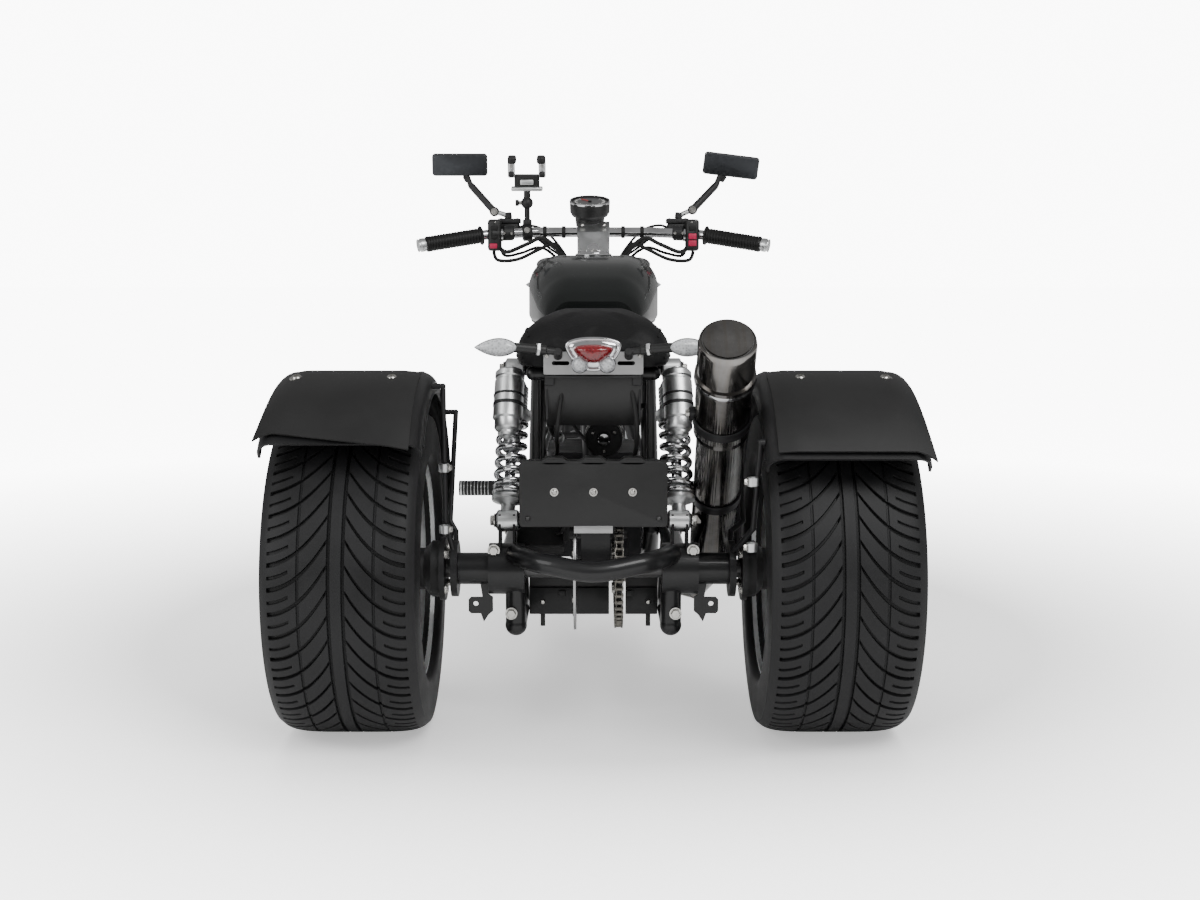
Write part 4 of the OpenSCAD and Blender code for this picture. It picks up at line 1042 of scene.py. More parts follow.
def leaf(length, height, depth):
    """Leaf-shaped lamp lying along +X from its root: pointed at the far end, bulging to +Y."""
    rings = []
    for k in range(17):
        u = k / 16
        h = height / 2 * (sin(pi * min(u ** 0.85, 1)) ** 0.8 if 0 < u < 1 else 0.04)
        d = depth / 2 * max(sin(pi * min(u ** 0.6, 1)), 0.08) ** 0.7
        rings.append([(length * u, d * sin(b), h * cos(b)) for b in np.linspace(0, 2 * pi, 24, endpoint=False)])
    return tube(rings)


signals = Piece("rear_signals_detail", "frame", "clear_lens")
for s in (1, -1):
    signals.add(leaf(0.068, 0.027, 0.022), "clear_lens", (0.118, 0.779, 0.632), side=s)
    signals.add(leaf(0.071, 0.03, 0.018), "chrome", (0.1165, 0.775, 0.632), side=s)
    signals.add(rod((0.074, 0.77, 0.627), (0.125, 0.777, 0.632), 0.0078, 20), "plastic", side=s)
    signals.add(rod((0.084, 0.772, 0.6285), (0.09, 0.7732, 0.6293), 0.0105, 6), "silver", side=s)
    signals.add(rod((0.056, 0.768, 0.624), (0.078, 0.77, 0.627), 0.0055, 16), "plastic", side=s)
    signals.add(rod((0.056, 0.762, 0.616), (0.056, 0.774, 0.626), 0.007, 16), "plastic", side=s)
signals.build("rear_signals")


# ------------------------------------------------------------------ shocks
def shock_line(t, off=(0, 0, 0)):
    """t runs from the foot (0) to the top (1); off in millimetres."""
    foot, top = Vector((141, REAR.y / MM, 345)), Vector((131, REAR.y / MM - 120, 586))
    return (foot + (top - foot) * t + Vector(off)) * MM


springs = Piece("shock_spring_coils", "frame", "chrome_spring")
springs.both(coil(shock_line(0.155), shock_line(0.665), 0.0272, 0.0052, 7.2, 12, 30), "spring")
springs.build("shock_springs")
shocks = Piece("shock_absorbers_detail", "frame", "silver")
way = (shock_line(1) - shock_line(0)).normalized()
body = [  # (radius, distance up from the foot, in millimetres)
    ([(1, 6), (10, 6), (12, 10), (12, 26), (18, 30), (27, 33), (28, 36), (28, 40), (25, 42), (14, 43),
            (14, 60)], "silver"),
    ([(9, 51), (9, 182)], "chrome"),
    ([(13, 120), (15, 122), (15, 166), (13, 168)], "silver"),
    ([(15, 176), (29, 178), (30, 181), (30, 190), (26, 194), (20, 196), (20, 238), (16, 246), (8, 252)],
            "silver"),
]
for profile, material in body:
    shocks.both(lathe([(max(r, 1) * MM, z * MM) for r, z in profile], 48), material, shock_line(0), way)
for k in range(6):
    z = 198 + 6.4 * k
    shocks.both(ring(0.0195, 0.0235, 0.0034, 48, 0.0008), "silver", shock_line(0) + way * z * MM, way)
# eyes at both ends, with rubber bushes, washers and nuts
for t, x0, x1 in ((0.0, 118, 162), (1.0, 112, 152)):
    c = shock_line(t)
    shocks.both(rod((x0 * MM + 0.004, c.y, c.z), (x1 * MM - 0.004, c.y, c.z), 0.0175, 36), "silver")
    shocks.both(rod((x0 * MM + 0.001, c.y, c.z), (x1 * MM - 0.001, c.y, c.z), 0.0125, 30), "rubber")
    shocks.bolts(0.009, 0.008, (x1 * MM - 0.001, c.y, c.z), TO_LEFT)
# the remote canisters
c0, c1 = shock_line(0.55, (6, 56, 12)), shock_line(0.95, (6, 56, 12))
reach = (c1 - c0).length / MM
can = [(1, 0), (15, 0), (19, 3), (21, 6), (21, 20), (24.5, 23), (24.5, reach - 20), (22.5, reach - 18),
        (22.5, reach - 15),
       (24.5, reach - 13), (24.5, reach - 5), (21, reach - 1), (9, reach), (9, reach + 5), (1, reach + 5)]
shocks.both(lathe([(r * MM, z * MM) for r, z in can], 48), "silver", c0, c1 - c0)
shocks.both(ring(0.0245, 0.0255, 0.006, 48, 0.0005), "dark_cast", c0 + (c1 - c0) * 0.4, c1 - c0)
shocks.both(ring(0.0245, 0.0255, 0.004, 48, 0.0005), "dark_cast", c0 + (c1 - c0) * 0.56, c1 - c0)
shocks.both(lathe([(0.0145, 0), (0.015, 0.004), (0.0125, 0.0075), (0.01, 0.0075), (0.009, 0.0045),
        (0.001, 0.0045)], 36), "silver", c0, -(c1 - c0))
shocks.both(rod(shock_line(0.86), c0 + (c1 - c0) * 0.8, 0.011, 20), "silver")
shocks.build("shock_absorbers")

# ------------------------------------------------------------------ exhaust
muf = Piece("muffler_detail", "frame", "dark_exhaust")
m0, m1 = Vector((-207, 529, 260)) * MM, Vector((-199, 919, 650)) * MM
span = (m1 - m0).length


def at_share(t):
    """The height of a place on the muffler, given as a share of its length."""
    return t * span


def muffler_part(near, far, material):
    """Turned part of the muffler: near heights are in metres, and far ones are shares of its length."""
    muf.add(lathe(near + [(r, at_share(t)) for r, t in far], 72), material, m0, m1 - m0)


muffler_part([(1e-4, 0.0), (0.02, 0.0), (0.03, 0.004), (0.036, 0.016), (0.0385, 0.03)],
             [(0.0385, 0.615), (0.0395, 0.62), (0.044, 0.635), (0.044, 0.842), (1e-4, 0.842)], "exhaust")
muffler_part([], [(0.04, 0.838), (0.0465, 0.841), (0.0478, 0.851), (0.0465, 0.861), (0.04, 0.864)], "chrome")
muffler_part([], [(0.0405, 0.86), (0.044, 0.866), (0.0445, 0.9), (0.0445, 0.985), (0.043, 1.0), (0.0405, 1.005),
                  (0.0395, 1.0)], "exhaust")
muffler_part([], [(0.04, 0.999), (0.0392, 1.003), (0.015, 1.0035), (0.0145, 0.985), (1e-4, 0.985)], "cap_grey")
for a in turns(3, pi / 2):
    basis = frame_of(m1 - m0).to_3x3()
    off = basis @ Vector((0.028 * cos(a), 0.028 * sin(a), at_share(1.003)))
    muf.screw(0.0035, 0.0022, m0 + off, m1 - m0)
for t, r_in, r_out in ((0.3, 0.0386, 0.0415), (0.66, 0.0441, 0.0462)):
    muf.add(ring(r_in, r_out, 0.018, 72), "satin", m0 + (m1 - m0) * t, m1 - m0)
    muf.add(block((0.016, 0.014, 0.02), 0.002), "satin", m0 + (m1 - m0) * t + Vector((0.044, 0.01, 0.012)),
            m1 - m0)
    muf.bolt(0.0055, 0.006, m0 + (m1 - m0) * t + Vector((0.052, 0.012, 0.014)), TO_LEFT)
muf.build()

# ------------------------------------------------------------------ foot pegs and chain
pegs = Piece("foot_peg_detail", "frame", "chrome")
PEG = Vector((0, -0.295, 0.253))
for s in (1, -1):
    pegs.add(rod(PEG + Vector((s * 0.22, 0, 0)), PEG + Vector((s * 0.232, 0, 0)), 0.015, 32), "satin")
    pegs.add(rod(PEG + Vector((s * 0.232, 0, 0)), PEG + Vector((s * 0.3, 0, 0)), 0.0115, 32), "silver")
    for k in range(8):
        at = PEG + Vector((s * (0.2365 + 0.0078 * k), 0, 0))
        pegs.add(lathe([(0.0112, 0), (0.0168, 0.0006), (0.0172, 0.002), (0.0168, 0.0034), (0.0112, 0.004)], 32),
                "silver", at, (s, 0, 0))
    pegs.add(lathe([(0.0115, 0), (0.0172, 0.001), (0.0172, 0.005), (0.012, 0.0075), (0.001, 0.008)], 32),
            "silver", PEG + Vector((s * 0.297, 0, 0)), (s, 0, 0))
pegs.build()


def link_plate(length, half, thick):
    """Chain plate with round ends."""
    outline = []
    for c, a0, a1 in ((length / 2, -100, 100), (-length / 2, 80, 280)):
        for a in range(a0, a1 + 1, 20):
            outline.append((c + half * cos(radians(a)), half * sin(radians(a))))
    return slab(outline, thick, 0.0004)


# the chain as rollers and link plates on a loop round both sprockets
chain = Piece("chain_links_detail", "frame", "chain_steel")
CHAIN_X, CHAIN_R, DRIVE_R = -0.041, 0.0925, 0.0285
DRIVE = (0.335, REAR.z)
CHAIN_PITCH = 0.0127


def chain_loop():
    """Evenly spaced pins round the two sprockets, as (y, z) seen from the side."""
    gap = REAR.y - DRIVE[0]
    lean = acos((CHAIN_R - DRIVE_R) / gap)
    pts = []
    for k in range(41):
        a = pi - lean - (2 * pi - 2 * lean) * k / 40
        pts.append((REAR.y + CHAIN_R * cos(a), REAR.z + CHAIN_R * sin(a)))
    for k in range(21):
        a = pi + lean - 2 * lean * k / 20
        pts.append((DRIVE[0] + DRIVE_R * cos(a), DRIVE[1] + DRIVE_R * sin(a)))
    pts.append(pts[0])
    lengths = [0]
    for p, q in zip(pts, pts[1:]):
        lengths.append(lengths[-1] + dist(p, q))
    n = 2 * round(lengths[-1] / CHAIN_PITCH / 2)
    out = []
    for k in range(n):
        s = lengths[-1] * k / n
        i = max(j for j in range(len(lengths) - 1) if lengths[j] <= s)
        t = (s - lengths[i]) / (lengths[i + 1] - lengths[i])
        out.append([pts[i][c] + (pts[i + 1][c] - pts[i][c]) * t for c in (0, 1)])
    return out


pins = chain_loop()
for k, (y, z) in enumerate(pins):
    q = pins[(k + 1) % len(pins)]
    middle, way = Vector((0, (y + q[0]) / 2, (z + q[1]) / 2)), Vector((0, q[0] - y, q[1] - z))
    out = 0.0054 if k % 2 else 0.0038
    for s in (1, -1):
        x_axis, z_axis = way.normalized(), Vector((s, 0, 0))
        basis = Matrix((x_axis, z_axis.cross(x_axis), z_axis)).transposed().to_4x4()
        at = Vector((CHAIN_X + s * out, middle.y, middle.z))
        chain.add(moved(link_plate(CHAIN_PITCH, 0.0052, 0.0013), Matrix.Translation(at) @ basis), "chain")
    chain.add(rod((CHAIN_X - 0.0072, y, z), (CHAIN_X + 0.0072, y, z), 0.0021, 8, 0), "steel")
    chain.add(rod((CHAIN_X - 0.0036, y, z), (CHAIN_X + 0.0036, y, z), 0.004, 12, 0), "chain")
chain.build("chain")


# ------------------------------------------------------------------ seat and tank
def section(half, low, high, y, corner, lower_corner, steps=12, crown=0.0):
    """Ring in the XZ plane: rounded on top by corner and below by lower_corner, its top crowned."""
    out = []
    for cx, cz, r, a0 in ((half - corner, high - corner, corner, 0),
            (-(half - corner), high - corner, corner, 90),
                          (-(half - lower_corner), low + lower_corner, lower_corner, 180),
                          (half - lower_corner, low + lower_corner, lower_corner, 270)):
        for k in range(steps + 1):
            a = radians(a0 + 90 * k / steps)
            x, z = cx + r * cos(a), cz + r * sin(a)
            if a0 in (0, 90):
                z += crown * (1 - (x / half) ** 2)
            out.append((x, y, z))
    return out


def interpolate(table, t):
    """Smooth curve through (place, value) pairs."""
    for i in range(len(table) - 1):
        (a, va), (b, vb) = table[i], table[i + 1]
        if t <= b or i == len(table) - 2:
            before, after = table[max(i - 1, 0)], table[min(i + 2, len(table) - 1)]
            slope_a = (vb - before[1]) / (b - before[0])
            slope_b = (after[1] - va) / (after[0] - a)
            u, d = min((t - a) / (b - a), 1.0), b - a
            return (va * (1 + 2 * u) * (1 - u) ** 2 + slope_a * d * u * (1 - u) ** 2
                    + vb * u * u * (3 - 2 * u) + slope_b * d * u * u * (u - 1))


seat_low, seat_front, seat_back = 0.597, 0.262, 0.747
SEAT_TOP = [(0.262, 0.662), (0.32, 0.664), (0.42, 0.668), (0.6, 0.677), (0.7, 0.674), (0.747, 0.656)]
SEAT_HALF = [(0.262, 0.09), (0.32, 0.102), (0.42, 0.115), (0.6, 0.123), (0.7, 0.122), (0.747, 0.108)]
rings = []
for k in range(40):
    t = k / 39
    y = seat_front + 0.004 + (seat_back - seat_front - 0.01) * t
    end = min(t, 1 - t)
    inset = 0.012 * max(0, 1 - end / 0.05) ** 2
    rings.append(section(interpolate(SEAT_HALF, y) - inset, seat_low + 0.001,
            interpolate(SEAT_TOP, y) - inset - 0.008, y, 0.044, 0.01, crown=0.008))
cushion_shape = tube(rings)
cushion = Piece("seat_cushion", "frame", "seat_cover")
cushion.add(cushion_shape, "seat")
seat_object = cushion.build("seat")
remesh = seat_object.modifiers.new("remesh", "REMESH")
remesh.mode, remesh.voxel_size, remesh.use_smooth_shade = "VOXEL", 0.005, True


def apply_modifiers(obj):
    """Keeps the mesh that the modifiers give, and drops them."""
    mesh = bpy.data.meshes.new_from_object(obj.evaluated_get(bpy.context.evaluated_depsgraph_get()))
    old = obj.data
    obj.modifiers.clear()
    obj.data = mesh
    bpy.data.meshes.remove(old)


def points_of(mesh):
    """The vertices of a mesh as rows of x, y, z."""
    flat = np.empty(len(mesh.vertices) * 3)
    mesh.vertices.foreach_get("co", flat)
    return flat.reshape(-1, 3)


SEAT_SWELL = 0.014  # metres: how far the cloth may move a point
apply_modifiers(seat_object)
rest = points_of(seat_object.data)
held = seat_object.vertex_groups.new(name="held")
held.add([i for i, z in enumerate(rest[:, 2]) if z < seat_low + 0.01], 1.0, "REPLACE")
cloth = seat_object.modifiers.new("cloth", "CLOTH")
cloth.settings.vertex_group_mass = "held"
cloth.settings.use_pressure = True
cloth.settings.uniform_pressure_force = 4.0
cloth.settings.tension_stiffness = 18
cloth.settings.compression_stiffness = 18
cloth.settings.bending_stiffness = 1.5
cloth.settings.effector_weights.gravity = 0.0
cloth.point_cache.frame_start, cloth.point_cache.frame_end = 1, 20
for number in range(1, 21):
    bpy.context.scene.frame_set(number)
apply_modifiers(seat_object)
bpy.context.scene.frame_set(1)
mesh = seat_object.data
move = points_of(mesh) - rest
far = np.linalg.norm(move, axis=1, keepdims=True)
move *= np.minimum(1.0, SEAT_SWELL / np.maximum(far, 1e-9))
puffed = rest + move
puffed[:, 1] = np.clip(puffed[:, 1], seat_front, seat_back + 0.002)
puffed[:, 2] = np.maximum(puffed[:, 2], seat_low)
mesh.vertices.foreach_set("co", puffed.reshape(-1))
mesh.update()
seat_object.data.polygons.foreach_set("use_smooth", [True] * len(seat_object.data.polygons))
if not seat_object.data.materials:
    seat_object.data.materials.append(M["seat"])

seams = Piece("seat_seams", "frame", "seat_cover")


def on_seat(x, y, z):
    """The nearest point just above the seat cover."""
    _, at, normal, _ = seat_object.closest_point_on_mesh((x, y, z))
    return at + normal * 0.0004


for s in (1, -1):
    path = [on_seat(s * (interpolate(SEAT_HALF, y) + 0.004), y, interpolate(SEAT_TOP, y) - 0.004)
            for y in np.linspace(0.285, 0.735, 60)]
    seams.add(sweep(smooth_path(path, 2), 0.0018, 8), "seat")
    path = [on_seat(s * (interpolate(SEAT_HALF, y) + 0.02), y, seat_low + 0.016)
            for y in np.linspace(0.285, 0.735, 50)]
    seams.add(sweep(smooth_path(path, 2), 0.0022, 8), "rubber")
cross_y = 0.37
half = interpolate(SEAT_HALF, cross_y)
across = np.linspace(-half + 0.012, half - 0.012, 40)
seams.add(sweep([on_seat(x, cross_y + 0.02 * cos(x / half * 1.5), 0.7) for x in across], 0.0016, 8), "seat")
seams.build()

tank_front, tank_back, tank_low = -0.211, 0.257, 0.641
TANK_HALF = [(0, 0.072), (0.06, 0.112), (0.16, 0.132), (0.3, 0.135), (0.6, 0.126), (0.85, 0.108), (0.96, 0.092),
        (1, 0.078)]
TANK_TOP = [(0, 0.706), (0.05, 0.738), (0.12, 0.762), (0.24, 0.776), (0.45, 0.778), (0.7, 0.764), (0.86, 0.738),
        (0.95, 0.712), (1, 0.692)]
tank = Piece("fuel_tank_shell", "frame", "gloss_black")
rings = []
for k in range(61):
    t = k / 60
    y = tank_front + 0.002 + (tank_back - tank_front - 0.004) * t
    half, top = interpolate(TANK_HALF, t), interpolate(TANK_TOP, t)
    corner = min(0.062, (top - tank_low) * 0.62, half * 0.62)
    rings.append(section(half, tank_low + 0.002, top - 0.006, y, corner, 0.014, 14, 0.006))
tank.add(tube(rings), "gloss")
welt = []
for s in (1, -1):
    for k in range(2, 59):
        t = k / 60 if s > 0 else 1 - k / 60
        welt.append(Vector((s * (interpolate(TANK_HALF, t) - 0.0075), tank_front + 0.002 + 0.464 * t,
                tank_low + 0.004)))
tank.add(sweep(welt, 0.0032, 8, True), "gloss")
CAP = Vector((0, -0.021, 0.774))
tank.add(lathe([(0.036, 0), (0.0375, 0.002), (0.0375, 0.005), (0.034, 0.007), (0.0325, 0.007), (0.032, 0.0085),
        (0.03, 0.0112), (0.012, 0.012), (0.001, 0.0122)], 64), "chrome", CAP)
tank.add(block((0.03, 0.009, 0.004), 0.0015), "chrome", CAP + Vector((0, -0.014, 0.0125)))
tank.add(ring(0.0045, 0.0075, 0.003, 24, 0.0005), "steel", CAP + Vector((0, 0.008, 0.0105)))
for a in turns(5, 0.3):
    tank.screw(0.0022, 0.0014, CAP + Vector((0.0345 * cos(a), 0.0345 * sin(a), 0.0062)))


petcock = Vector((0.06, 0.15, 0.628))
tank.add(rod(petcock + Vector((0, 0, 0.014)), petcock + Vector((0, 0, -0.006)), 0.009, 24), "alloy")
tank.add(rod(petcock + Vector((-0.004, 0, 0)), petcock + Vector((0.022, 0, 0)), 0.0065, 20), "alloy")
tank.add(block((0.006, 0.026, 0.008), 0.002), "dark_cast", petcock + Vector((0.024, 0.006, 0)))
tank.build("fuel_tank")

# ------------------------------------------------------------------ handlebar and what is on it
ROUTE = [bar(120, 0, 0), bar(232, 14, -5), bar(368, 62, -28)]


def along(a, b, t):
    """The point a share t of the way from a to b."""
    return a + (b - a) * t


bars = Piece("handlebar_tube", "steering", "chrome")
bar_path = bent_path([mirrored(ROUTE[2]), mirrored(ROUTE[1]), mirrored(ROUTE[0]), ROUTE[0], ROUTE[1], ROUTE[2]],
        0.1, 8)
bars.add(sweep(bar_path, 0.011, 24), "chrome")
for s in (1, -1):
    a, b = ROUTE[1], ROUTE[2]
    end = placed(lathe([(0.011, 0), (0.014, 0.001), (0.015, 0.004), (0.015, 0.012), (0.0125, 0.014),
            (0.0125, 0.0155), (0.0145, 0.0165), (0.014, 0.0178), (0.004, 0.018)], 32),
                 along(a, b, 0.995), b - a)
    bars.add(end, "silver", side=s)
bars.build("handlebar")

grips = Piece("grip_sleeves", "steering", "grip_rubber")
a, b = along(ROUTE[1], ROUTE[2], 0.11), along(ROUTE[1], ROUTE[2], 0.985)
n = (b - a).length
prof = [(0.0113, 0), (0.0205, 0.0005), (0.0215, 0.002), (0.0205, 0.0042), (0.0165, 0.006)]
k = 0.01
while k < n - 0.01:
    prof += [(0.016, k), (0.0171, k + 0.0012), (0.0171, k + 0.0042), (0.016, k + 0.0054)]
    k += 0.0066
prof += [(0.017, n - 0.006), (0.0176, n - 0.003), (0.0165, n), (0.0113, n)]
grip = placed(lathe(prof, 40, True), a, b - a)
grips.both(grip, "grip")
grips.build("grips")

levers = Piece("lever_sets", "steering", "cast_parts")
lever_path = smooth_path([bar(206, -34, 0), bar(222, -42, -3), bar(244, -44, -7), bar(285, -27, -15),
        bar(330, -8, -24), bar(358, 6, -30)], 6)
radii = [0.0062 - 0.0012 * sin(pi * i / (len(lever_path) - 1)) for i in range(len(lever_path))]
levers.both(sweep(lever_path, radii, 14), "silver")
levers.both(ball(0.0078, 14, 20), "silver", bar(361, 7, -30))
levers.both(rod(bar(177, 7, -2), bar(201, 11, -3), 0.0165, 36), "dark_cast")
levers.both(block((0.046, 0.036, 0.034), 0.006), "dark_cast", bar(188, -30, 4))
levers.both(block((0.05, 0.04, 0.011), 0.002), "dark_cast", bar(188, -30, 25))
for x, y in ((170, -44), (206, -44), (170, -16), (206, -16)):
    levers.screws(0.0028, 0.0018, bar(x, y, 30))
levers.bolts(0.0052, 0.006, bar(207, -36, -14), (0, 0, -1))
levers.both(rod(bar(207, -36, -15), bar(207, -36, 10), 0.0065, 20), "dark_cast")
for x in (181, 197):
    levers.screws(0.0036, 0.004, bar(x, 26, -3), TO_REAR)
levers.build("levers")

pods = Piece("switch_pod_shells", "steering", "black_plastic")
for s in (1, -1):
    pods.add(rod(bar(206.5, 11, -4), bar(228.5, 14, -5), 0.02, 40), "plastic", side=s)
    pods.add(block((0.03, 0.038, 0.07), 0.007, 4), "plastic", bar(219, 12, -7), side=s)
    pods.add(block((0.0008, 0.0385, 0.0705), 0.0001, 1), "rubber", bar(219, 12, -7), side=s)
    if s > 0:
        pods.add(block((0.017, 0.005, 0.011), 0.002), "red_switch", bar(221, 31.5, -31))
        pods.add(block((0.014, 0.006, 0.008), 0.003), "rubber", bar(219, 31.5, -12))
    else:
        for z in (-25, -10):
            pods.add(block((0.018, 0.005, 0.013), 0.002), "red_switch", bar(219, 31.5, z), side=s)
    pods.add(block((0.016, 0.004, 0.01), 0.002), "rubber", bar(219, 31, 8), side=s)
    pods.screw(0.0024, 0.0016, bar(217, 30, 21), TO_REAR, side=s)
pods.build("switch_pods")

mirrors = Piece("mirror_heads", "steering", "mirror_housing")
for s, low, head, tilt in ((1, 46, (299, -36, 150), 0), (-1, 50, (-308, -36, 148), -7)):
    def on_side(x, y, z, s=s):
        """A point on this side of the bar."""
        return bar(s * x, y, z)
    stem = bent_path([on_side(190, -26, 19), on_side(193, -28, 38), on_side(222, -30, low),
            on_side(276, -40, 106), on_side(284, -38, 128)], 0.02, 5)
    post = sum(1 for q in stem if q.z < on_side(0, 0, low).z + 0.001)
    mirrors.add(sweep(stem[:post], 0.0056, 14), "silver")
    upper = stem[post - 1:]
    mirrors.add(sweep(upper, [0.0092 - 0.0036 * i / (len(upper) - 1) for i in range(len(upper))], 14),
            "dark_cast")
    mirrors.add(rod(on_side(222, -37, low), on_side(222, -23, low), 0.0108, 28), "dark_cast")
    mirrors.bolt(0.0062, 0.005, on_side(222, -23, low), TO_REAR)
    mirrors.bolt(0.009, 0.01, on_side(190, -26, 20), (0, 0, 1))
    mirrors.add(rod(on_side(190, -26, 30), on_side(192, -27, 44), 0.0085, 6), "dark_cast")
    m = Matrix.Translation(bar(*head)) @ Matrix.Rotation(radians(tilt), 4, "Y") @ Matrix.Rotation(radians(-8),
            4, "X")
    mirrors.add(moved(block((0.124, 0.018, 0.05), 0.0075, 5), m), "mirror_shell")
    frame_plate = moved(slab(rounded_outline(0.118, 0.044, 0.006), 0.0012, 0.0005),
            m @ Matrix.Translation((0, 0.0086, 0)) @ Matrix.Rotation(radians(-90), 4, "X"))
    mirrors.add(frame_plate, "mirror_glass")
    mirrors.add(moved(rod((0, 0, -0.024), (-s * 0.006, -0.004, -0.036), 0.0075, 20),
            m @ Matrix.Translation((-s * 0.012, 0, 0))), "dark_cast")
mirrors.build("mirrors")

holder = Piece("phone_holder_detail", "steering", "black_plastic")
H = 147
holder.add(rod(bar(H - 11, 2, 0), bar(H + 11, 4, -1), 0.0195, 36), "plastic")
holder.add(block((0.02, 0.014, 0.016), 0.003), "plastic", bar(H, 4, 20))
holder.bolt(0.005, 0.005, bar(H, 24, 4), TO_REAR)
holder.add(rod(bar(H, 4, 20), bar(H, 8, 56), 0.0062, 20), "plastic")
holder.add(ball(0.0135, 18, 28), "dark_cast", bar(H, 9, 64))
holder.add(rod(bar(H + 10, 9, 64), bar(H + 18, 9, 64), 0.0045, 16), "steel")
holder.add(lathe([(0.006, 0), (0.0075, 0.001), (0.0075, 0.007), (0.006, 0.008), (0.001, 0.008)], 10), "plastic",
        bar(H + 18, 9, 64), TO_LEFT)
holder.add(rod(bar(H, 9, 70), bar(H, 12, 96), 0.0075, 24), "plastic")
m = Matrix.Translation(bar(H, 14, 116)) @ Matrix.Rotation(radians(-14), 4, "X")
holder.add(moved(block((0.056, 0.01, 0.03), 0.004), m @ Matrix.Translation((0, 0, -0.004))), "plastic")
holder.add(moved(block((0.03, 0.014, 0.012), 0.003), m @ Matrix.Translation((0, 0.002, -0.006))), "silver")
holder.add(moved(block((0.07, 0.018, 0.009), 0.003), m @ Matrix.Translation((0, 0.003, -0.021))), "silver")
for s in (1, -1):
    jaw = block((0.016, 0.014, 0.046), 0.0045)
    holder.add(moved(jaw, m @ Matrix.Translation((s * 0.034, 0.000, 0.026))), "silver")
    holder.add(moved(block((0.019, 0.026, 0.017), 0.005), m @ Matrix.Translation((s * 0.032, 0.006, 0.044))),
            "dark_cast")
    holder.add(moved(block((0.012, 0.02, 0.012), 0.003), m @ Matrix.Translation((s * 0.034, 0.005, 0.012))),
            "dark_cast")
    holder.add(moved(rod((s * 0.034, -0.006, 0.03), (s * 0.034, 0.009, 0.03), 0.0035, 14), m), "steel")
holder.build("phone_holder")

gauge = Piece("gauge_detail", "steering", "black_plastic")
g0 = fork(8, 11, 736)
g_way = Vector((0, sin(radians(16)), cos(radians(16))))
gauge.add(lathe([(0.001, 0), (0.032, 0), (0.04, 0.004), (0.0445, 0.012), (0.045, 0.03), (0.0452, 0.0345),
        (0.044, 0.0378), (0.0405, 0.038), (0.04, 0.0345), (0.001, 0.0345)], 64), "plastic", g0, g_way)
gauge.add(lathe([(0.001, -0.024), (0.027, -0.024), (0.031, -0.02), (0.034, 0.004), (0.001, 0.004)], 48),
        "plastic", g0, g_way)
gauge.add(lathe([(0.0402, 0.0352), (0.0408, 0.0372), (0.0447, 0.0385), (0.0455, 0.035), (0.045, 0.033)], 64,
        True), "chrome", g0, g_way)
gauge.add(lathe([(0.0385, 0.0346), (0.0385, 0.035), (0.001, 0.035)], 64), "dial", g0, g_way)
basis = frame_of(g_way).to_3x3()
for k in range(28):
    a = radians(-135 + 270 * k / 27) + pi / 2
    long = 0.006 if k % 3 == 0 else 0.003
    p0, p1 = (g0 + basis @ Vector((r * cos(a), r * sin(a), 0.0353)) for r in (0.034, 0.034 - long))
    gauge.add(rod(p0, p1, 0.0005, 6, 0), "marks")
gauge.add(rod(g0 + basis @ Vector((0, 0, 0.0362)), g0 + basis @ Vector((0.019, -0.019, 0.0362)), 0.0007, 6, 0),
        "red_tag")
gauge.add(lathe([(0.004, 0.035), (0.004, 0.0372), (0.001, 0.0376)], 20), "plastic", g0, g_way)
gauge.add(rod(g0 - g_way * 0.004, g0 - g_way * 0.004 + Vector((0, 0.014, 0.0)), 0.006, 12), "satin")
gauge.build("gauge")

riser = Piece("riser_detail", "steering", "cast_alloy")
for back in (-14, 12):
    riser.screws(0.0048, 0.0055, bar(24, back, 13))
riser.add(lathe([(0.013, 0), (0.015, 0.002), (0.015, 0.01), (0.011, 0.012), (0.011, 0.009), (0.001, 0.009)],
        36), "chrome", bar(0, 30, -42), (0, 1, 0.25))
riser.add(block((0.003, 0.016, 0.012), 0.001), "steel", bar(0, 47, -43))
riser.add(rod(bar(0, 54, -46), bar(-2, 57, -72), 0.0011, 8), "steel")
riser.add(placed(slab(rounded_outline(0.016, 0.03, 0.004), 0.002, 0.0005), bar(-3, 58, -88), (0, 1, 0.1),
        (0, 0, 1)), "white_tag")
riser.build()

# ------------------------------------------------------------------ front end
legs = Piece("fork_leg_detail", "steering", "silver")
leg = [([(1, -28), (14, -28), (20, -24), (23.5, -14), (24, 0), (24, 150), (23, 196), (25.5, 200), (25.5, 226),
        (24, 230), (24, 238), (21, 242), (18.6, 243)], "silver"),
       ([(18.4, 236), (22.5, 238), (23, 244), (19.5, 250), (18.2, 251)], "rubber"),
       ([(17.8, 200), (17.8, 606), (15, 611), (1, 612)], "chrome")]
for profile, material in leg:
    legs.both(lathe([(max(r, 0.5) * MM, z * MM) for r, z in profile], 48), material, fork(102, 0, 0), UP_FORK)
legs.both(lathe([(0.0005, 0.6115), (0.0125, 0.6115), (0.0125, 0.6165), (0.0005, 0.6165)], 6), "silver",
        fork(102, 0, 0), UP_FORK)
legs.add(rod(fork(-122, 0, 0), fork(122, 0, 0), 0.01, 32), "steel")
legs.bolts(0.0135, 0.008, fork(126, 0, 0), TO_LEFT)
legs.both(rod(fork(122, 0, 0), fork(127, 0, 0), 0.015, 32), "steel")
for z in (34, 182):
    legs.both(block((0.012, 0.02, 0.016), 0.003), "silver", fork(80, 4, z))
legs.build("fork_legs")

